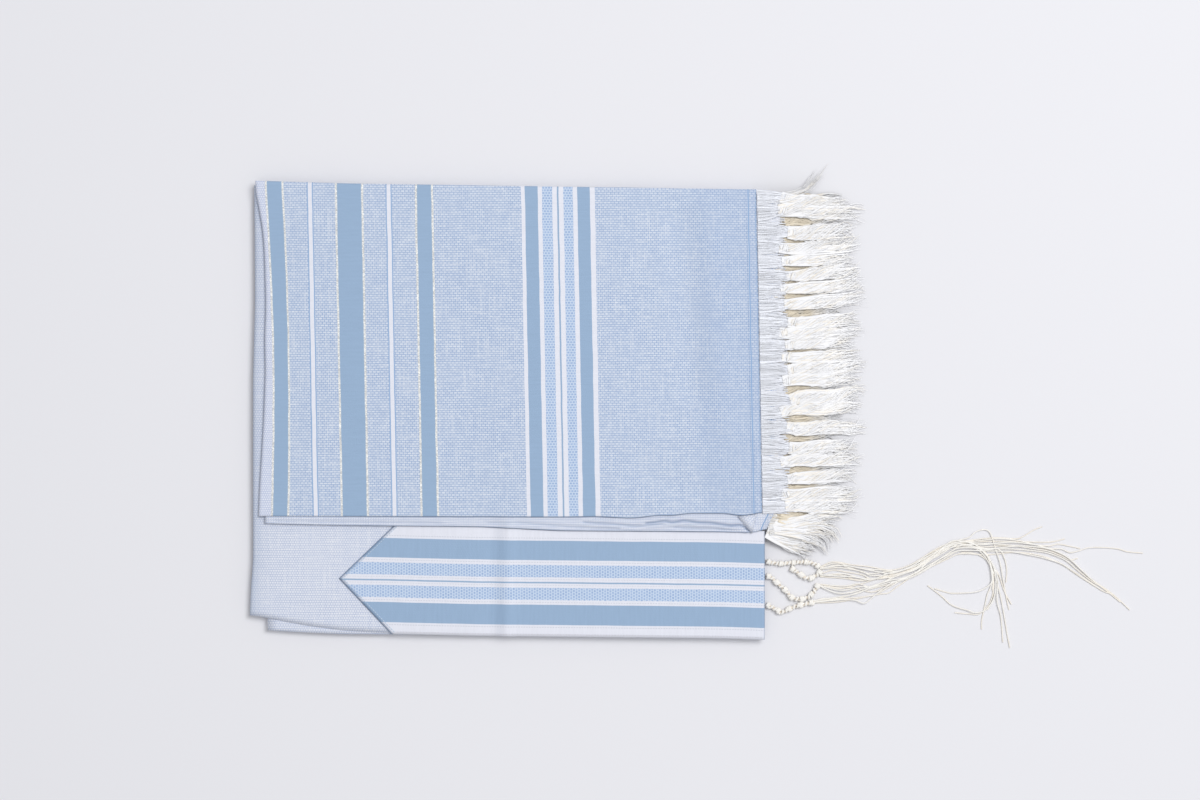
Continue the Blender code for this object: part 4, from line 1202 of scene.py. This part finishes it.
def stitch_row(name, line, height, material, **sizes):
    """Stitches along a line of x and y in millimetres, lying on the cloth whose height is given."""
    flat = smooth_route(line, 4.0)
    up = height(flat[:, 0], flat[:, 1])
    points = [(x * MM, y * MM, z * MM) for (x, y), z in zip(flat, up)]
    lines = bpy.data.meshes.new("row")
    lines.from_pydata(points, [(number, number + 1) for number in range(len(points) - 1)], [])
    holder = add_object("row", lines)
    modifier = holder.modifiers.new("stitches", "NODES")
    modifier.node_group = STITCH_TREE
    wanted = {"Material": material, **{key.replace("_", " "): value for key, value in sizes.items()}}
    for socket in STITCH_TREE.interface.items_tree:
        if socket.in_out == "INPUT" and socket.name in wanted:
            modifier[socket.identifier] = wanted[socket.name]
    graph = bpy.context.evaluated_depsgraph_get()
    mesh = bpy.data.meshes.new_from_object(holder.evaluated_get(graph), depsgraph=graph)
    bpy.data.objects.remove(holder, do_unlink=True)
    return mesh


def band_surface(x, y):
    return NECKBAND_TOP + relief(x, y) + 0.12


INSET = 2.4
tip = (BAND_TIP_X + 1.45 * INSET, BAND_TIP_Y)
upper_slant = [tip, (BAND_SHOULDER_X + INSET + 0.6, -106.5)]
lower_slant = [tip, (BAND_SHOULDER_X + INSET - 1.4, -194.0)]
lower_edge = [(x, float(along(BAND_BOTTOM, x)) + 1.9) for x in range(-136, 171, 34)]
band_stitches = join("neckband_stitches", [
    stitch_row("upper", upper_slant, band_surface, PALE_THREAD, Stitch_length=0.0021, Thickness=0.0004),
    stitch_row("lower", lower_slant, band_surface, PALE_THREAD, Stitch_length=0.0021, Thickness=0.0004),
    stitch_row("edge", lower_edge, band_surface, WHITE_THREAD)])
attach(band_stitches, "root")

STITCHES_IN = 8.3
hem_line = [(HEM_LINE - STITCHES_IN - PATTERN_LEAN * (y - PANEL_BOTTOM) / PANEL_TALL, y)
            for y in range(-93, 176, 30)]
hem_stitches = join("hem_stitches", [
    stitch_row("hem", hem_line, lambda x, y: END_TOP + relief(x, y) + 0.05, BLUE_THREAD,
               Pitch=0.0021, Thickness=0.00022)])
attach(hem_stitches, "root")
print("stitches:", triangles(band_stitches) + triangles(hem_stitches), "triangles")

# %% [markdown]
# ## The fringe
# The warp yarns run on past the hem. A maker gathers a dozen at a time, knots them close to the
# cloth, and twists what is left into a fat soft tassel. So each tassel has three parts: a fan of
# separate yarns from the hem to the knot, the knot, and a loosely twisted bundle that swells, then
# frays. All three come from the strand tree, their strands pressed a little flat by lying. Two
# fringes lie one over the other: the end panel's on top, and the turned layer's below it, which
# shows in the gaps and past the panel's lower corner.

# %% Fringe yarn and the tassels' places
FRINGE_YARN = yarn_material("fringe wool", (0.88, 0.88, 0.90), (0.88, 0.80, 0.665), -0.004, 0.002, sheen=0.5,
                            fuzz=0.85, painted_glow=0.09, end_painted_glow=0.30, creamy=0.5)
CURTAIN_YARN = yarn_material("fringe wool by the hem", (0.90, 0.925, 1.0), (0.82, 0.845, 0.975),
                             0.0098, 0.0128, sheen=0.5, fuzz=0.8, painted_glow=0.12)
LOWER_YARN = yarn_material("fringe wool in shade", (0.87, 0.87, 0.885), (0.86, 0.765, 0.61), 0.209, 0.227,
                           direction="X", sheen=0.5, fuzz=0.85, painted_glow=0.02)
# Height of a strand as a share of its width: full yarns, and thin loose ends. The last is how many
# waves the yarns by the hem make in a metre.
PRESSED, THIN_PRESSED = 0.55, 0.4
HEM_WAVES = 130.0
# Each tassel: y at its knot, y at its end, x of its knot, x of its end, half width.
END_TASSELS = [
    (171.5, 167.0, 190, 247, 4.6), (160.0, 158.5, 188, 259, 5.8), (142.0, 144.0, 196, 252, 6.0),
    (129.0, 133.5, 189, 255, 4.0), (117.5, 121.5, 191, 251, 4.3), (105.0, 111.0, 195, 256, 4.6),
    (94.0, 99.0, 190, 259, 4.4), (81.0, 87.5, 193, 261, 4.8), (66.5, 71.5, 196, 255, 4.4),
    (57.5, 62.0, 189, 258, 4.2), (46.5, 51.0, 194, 253, 4.6), (37.0, 39.5, 191, 257, 4.2),
    (26.0, 29.5, 196, 260, 4.6), (16.5, 17.0, 192, 255, 4.6), (0.5, 4.5, 198, 259, 5.0),
    (-9.5, -7.5, 190, 256, 4.4), (-22.0, -20.0, 195, 260, 5.0), (-39.5, -36.0, 197, 254, 5.0),
    (-52.0, -50.0, 190, 258, 4.6), (-66.0, -62.5, 196, 252, 4.8), (-78.5, -75.0, 191, 256, 4.6),
    (-89.0, -90.5, 194, 254, 4.8),
]
# One tassel of the turned layer lies below every gap between two of these.
LOWER_TASSELS = [((first[0] + second[0]) / 2, (first[1] + second[1]) / 2, 193, 238, 8.5)
                 for first, second in zip(END_TASSELS, END_TASSELS[1:])] + [(-96.0, -97.5, 190, 228, 6.0)]


def ramp(x, start, end, high, low):
    """A soft slope from one height to another."""
    share = min(1.0, max(0.0, (x - start) / (end - start)))
    return high + (low - high) * share * share * (3 - 2 * share)


def upper_middle(x):
    """Height of the middle of the end panel's fringe."""
    return ramp(x, 185, 218, 12.6, 4.0) - ramp(x, 218, 262, 0.0, 2.8)


def lower_middle(x):
    """Height of the middle of the turned layer's fringe."""
    return ramp(x, 182, 212, 10.4, 2.2) - ramp(x, 212, 240, 0.0, 1.1)


def swelling(share, neck):
    """Half width of a tassel along its length, as a share of its fullest; neck is its share at the knot."""
    return neck + (1.25 - neck) * math.sin(min(1.0, share * 2.5) * math.pi / 2) + 0.5 * max(0.0, share - 0.6)


def tassel_path(tassel, middle, sway):
    """Places along one tassel, from just before its knot to its end, with a slow bend of its own."""
    knot_y, end_y, knot_x, end_x, half_width = tassel
    knot_x -= 4.0
    neck = 0.74 + 0.14 * abs(sway)
    path = []
    for step in range(9):
        share = step / 8
        x = knot_x + (end_x - knot_x) * share
        y = (knot_y + (end_y - knot_y) * share
             + sway * (math.sin(share * math.pi) + 0.55 * math.sin(share * 3 * math.pi)))
        path.append((x, y, middle(x), half_width * swelling(share, neck)))
    return path


print("tassels:", len(END_TASSELS), "above and", len(LOWER_TASSELS), "below")

# %% The end panel's fringe
def hem_x(y):
    return HEM_LINE + 0.6 - HEM_SLANT * (y - PANEL_BOTTOM) / PANEL_TALL


def fan_paths(tassels, bottom, top, middle, start_x):
    """For each tassel, the fan of yarns from its stretch of hem to its knot."""
    ys = [tassel[0] for tassel in tassels]
    limits = [top] + [(first + second) / 2 for first, second in zip(ys, ys[1:])] + [bottom]
    paths = []
    for tassel, above, below in zip(tassels, limits, limits[1:]):
        knot_y, knot_x = tassel[0], tassel[2]
        half, middle_y = (above - below) / 2, (above + below) / 2
        path = []
        for share in (0.0, 0.2, 0.45, 0.7, 0.9, 1.0):
            gather = share**1.5
            x = start_x(middle_y) + (knot_x - start_x(middle_y)) * share
            path.append((x, middle_y + (knot_y - middle_y) * gather, middle(x), half + (3.3 - half) * gather))
        paths.append(path)
    return paths


random.seed(18)
sways = [random.uniform(-3.2, 3.2) for _tassel in END_TASSELS + LOWER_TASSELS]
end_fans = grow(fan_paths(END_TASSELS, -94.5, 177.5, lambda x: upper_middle(x) + 0.3, hem_x), CURTAIN_YARN,
                Strands=24, Steps=14, Sides=4, Side_by_side=1.0, Flatness=0.22, Wander=3.2 * MM,
                Waves_a_metre=HEM_WAVES, Thickness=0.34 * MM, Strand_height=PRESSED, Seed=3)
# A curtain of yarns that missed a knot runs straight on below the gathered ones.
curtain_paths = [[(hem_x(y) + run, y, upper_middle(hem_x(y) + run) - 0.7, 4.4) for run in (0, 6, 12, 18, 24)]
                 for y in np.arange(-90.5, 175, 8.6)]
end_curtain = grow(curtain_paths, CURTAIN_YARN, Strands=18, Steps=12, Sides=4, Side_by_side=1.0,
                   Flatness=0.15, Wander=3.0 * MM, Waves_a_metre=HEM_WAVES, Shortest=0.75,
                   Thickness=0.36 * MM, Strand_height=PRESSED, Taper=0.3, Seed=14)
# Short loose ends stand out of the gathered yarns at each knot.
end_wisps = grow(fan_paths(END_TASSELS, -94.5, 177.5, lambda x: upper_middle(x) + 0.7, hem_x), CURTAIN_YARN,
                 Strands=12, Steps=8, Sides=3, Side_by_side=0.5, Flatness=0.5, Wander=8.0 * MM, Fray=2.5,
                 Shortest=0.5, Thickness=0.2 * MM, Strand_height=THIN_PRESSED, Taper=0.5, Seed=4)
end_yarns = join("end_fringe_yarns", [end_fans, end_curtain, end_wisps])

knot_paths = []
for knot_y, _end_y, knot_x, _end_x, _half in END_TASSELS:
    lean_x, lean_y = random.uniform(-1.0, 1.0), random.uniform(-1.6, 1.6)
    knot_paths.append([(knot_x + lean_x * step + 2.8 * step, knot_y + lean_y * step,
                        upper_middle(knot_x) + 0.2, wide)
                       for step, wide in ((-1, 2.2), (0, 3.3), (1, 2.4))])
end_knots = join("end_fringe_knots", [
    grow(knot_paths, FRINGE_YARN, Strands=8, Steps=26, Sides=6, Turns=1.3, Inner_reach=0.4, Flatness=0.55,
         Wander=6.0 * MM, Waves_a_metre=90.0, Thickness=0.62 * MM, Seed=5)])

end_paths = [tassel_path(tassel, upper_middle, sway) for tassel, sway in zip(END_TASSELS, sways)]
# Nine thick yarns side by side fill the dips between a tassel's finer strands.
BODY = {"Strands": 9, "Steps": 14, "Sides": 6, "Side_by_side": 0.9, "Flatness": 0.1, "Wander": 3.0 * MM,
        "Shortest": 0.6, "Thickness": 1.05 * MM, "Strand height": 0.7, "Taper": 0.9}
end_tassels = join("end_fringe_tassels", [
    grow(end_paths, FRINGE_YARN, Strands=46, Steps=16, Sides=5, Turns=1.3, Inner_reach=0.1,
         Flatness=0.26, Wander=7.0 * MM, Fray=0.35, Shortest=0.58, Thickness=0.5 * MM,
         Strand_height=PRESSED, Taper=0.8, Seed=6),
    grow(end_paths, FRINGE_YARN, Seed=21, **BODY)])
# The tassel at the top corner swings up and away from the shawl as a thin fan.
corner_fan = [[(188, 173.5, 11.0, 2.0), (199, 175.0, 9.0, 3.0), (208, 178.5, 6.0, 3.6),
               (215, 186.0, 3.6, 4.6), (222, 193.0, 2.4, 5.6), (229, 199.5, 1.6, 6.6)]]
end_fuzz = join("end_fringe_frayed_ends", [
    grow(end_paths, FRINGE_YARN, Strands=30, Steps=12, Sides=3, Turns=0.4, Inner_reach=0.2, Flatness=0.12,
         Wander=13.0 * MM, Fray=0.8, Shortest=0.7, Thickness=0.2 * MM, Strand_height=THIN_PRESSED,
         Taper=0.7, Seed=7),
    grow(corner_fan, FRINGE_YARN, Strands=26, Steps=14, Sides=3, Turns=0.2, Inner_reach=0.0, Flatness=0.12,
         Wander=8.0 * MM, Fray=0.9, Shortest=0.6, Thickness=0.26 * MM, Strand_height=THIN_PRESSED,
         Taper=0.7, Seed=15)])
end_fringe = [end_yarns, end_knots, end_tassels, end_fuzz]
for piece in end_fringe:
    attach(piece, "root")
    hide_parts("end_fringe")
    print(piece.name, triangles(piece), "triangles")

# %% The turned layer's fringe below it
lower_paths = [tassel_path(tassel, lower_middle, sway)
               for tassel, sway in zip(LOWER_TASSELS, sways[len(END_TASSELS):])]
# Five tassels past the lower corner fall towards the neckband, their ends bending down.
corner_paths = [
    [(178, -99.0, 10.2, 2.8), (192, -102.0, 8.0, 4.0), (206, -101.5, 5.8, 5.2), (222, -99.0, 3.8, 6.6),
     (240, -101.0, 2.2, 7.0)],
    [(177, -103.5, 9.8, 3.0), (192, -104.5, 7.8, 5.2), (206, -105.0, 5.6, 6.0), (219, -107.0, 4.2, 6.4),
     (229, -112.0, 3.2, 6.4), (234, -121.0, 2.8, 6.0)],
    [(175.5, -108.0, 9.6, 2.8), (190, -109.0, 7.6, 5.0), (203, -111.0, 5.6, 6.0), (215, -115.0, 4.2, 6.2),
     (223, -121.0, 3.2, 6.0), (227, -129.5, 2.8, 5.4)],
    [(174.5, -110.5, 9.2, 2.4), (186, -114.0, 6.8, 4.4), (197, -119.0, 4.8, 5.6), (207, -123.0, 3.8, 6.0),
     (217, -127.0, 3.4, 6.4)],
    [(173.8, -112.5, 8.8, 2.2), (183, -117.0, 6.4, 3.4), (193, -121.0, 4.4, 4.4), (202, -125.5, 3.4, 5.0),
     (211, -129.0, 3.2, 5.4)],
]
lower_tassels = join("lower_fringe_tassels", [
    grow(lower_paths, LOWER_YARN, Strands=44, Steps=11, Sides=4, Turns=0.5, Inner_reach=0.0,
         Flatness=0.15, Wander=5.0 * MM, Fray=0.3, Shortest=0.7, Thickness=0.46 * MM,
         Strand_height=PRESSED, Taper=0.55, Seed=8),
    grow(lower_paths, LOWER_YARN, Seed=22, **BODY),
    grow(corner_paths, FRINGE_YARN, Strands=44, Steps=14, Sides=5, Turns=0.6, Inner_reach=0.1,
         Flatness=0.22, Wander=7.0 * MM, Fray=0.3, Shortest=0.6, Thickness=0.48 * MM,
         Strand_height=PRESSED, Taper=0.7, Seed=16),
    grow(corner_paths, FRINGE_YARN, Seed=23, **BODY),
    grow(corner_paths, FRINGE_YARN, Strands=22, Steps=12, Sides=3, Turns=0.4, Inner_reach=0.2,
         Flatness=0.12, Wander=12.0 * MM, Fray=0.7, Shortest=0.7, Thickness=0.2 * MM,
         Strand_height=THIN_PRESSED, Taper=0.7, Seed=17)])


def lower_hem_x(y):
    return 181.0 if y > -93 else 176.5


corner_tassels = [(-99.5, 0, 182, 0, 0), (-107.5, 0, 180, 0, 0)]
lower_yarns = join("lower_fringe_yarns", [
    grow(fan_paths(LOWER_TASSELS, -99.0, 172.0, lambda x: lower_middle(x) + 0.2, lower_hem_x), LOWER_YARN,
         Strands=20, Steps=8, Sides=4, Side_by_side=1.0, Flatness=0.3, Wander=2.4 * MM,
         Thickness=0.36 * MM, Strand_height=PRESSED, Seed=9),
    grow(fan_paths(corner_tassels, -113.0, -92.0, lambda x: lower_middle(x) + 0.2, lower_hem_x), FRINGE_YARN,
         Strands=26, Steps=6, Sides=4, Side_by_side=1.0, Flatness=0.3, Wander=2.4 * MM,
         Thickness=0.32 * MM, Strand_height=PRESSED, Seed=18)])
lower_fringe = [lower_tassels, lower_yarns]
for piece in lower_fringe:
    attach(piece, "root")
    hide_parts("underfold_fringe")
    print(piece.name, triangles(piece), "triangles")

# %% [markdown]
# ## Table and light
# The shawl lies on a plain pale table under a large soft light, so that shadows are faint and wide.

# %% Floor and light
floor_mesh = bpy.data.meshes.new("table")
HALF_TABLE = 3.0
floor_mesh.from_pydata([(-HALF_TABLE, -HALF_TABLE, -0.0003), (HALF_TABLE, -HALF_TABLE, -0.0003),
                        (HALF_TABLE, HALF_TABLE, -0.0003), (-HALF_TABLE, HALF_TABLE, -0.0003)],
                       [], [(0, 1, 2, 3)])
floor = add_object("table", floor_mesh)
floor_paint = bpy.data.materials.new("pale table")
floor_paint.use_nodes = True
paint = floor_paint.node_tree.nodes["Principled BSDF"]
paint.inputs["Base Color"].default_value = (0.80, 0.80, 0.835, 1)
paint.inputs["Roughness"].default_value = 0.9
paint.inputs["Specular IOR Level"].default_value = 0.1
floor_mesh.materials.append(floor_paint)

world = bpy.data.worlds.new("studio")
world.use_nodes = True
world.node_tree.nodes["Background"].inputs["Color"].default_value = (0.98, 0.985, 1.0, 1)
world.node_tree.nodes["Background"].inputs["Strength"].default_value = 0.49
scene.world = world
# Place, side in metres and power in watts.
for name, place, size, power in (("soft box", (1.60, 1.20, 3.8), 2.0, 108.0),
                                 ("fill", (-0.3, -0.6, 2.3), 1.4, 4.0)):
    lamp = bpy.data.lights.new(name, "AREA")
    lamp.size = size
    lamp.energy = power
    holder = bpy.data.objects.new(name, lamp)
    holder.location = place
    holder.rotation_euler = (-Vector(place)).to_track_quat("-Z", "Y").to_euler()
    scene.collection.objects.link(holder)
print("table and lights set")
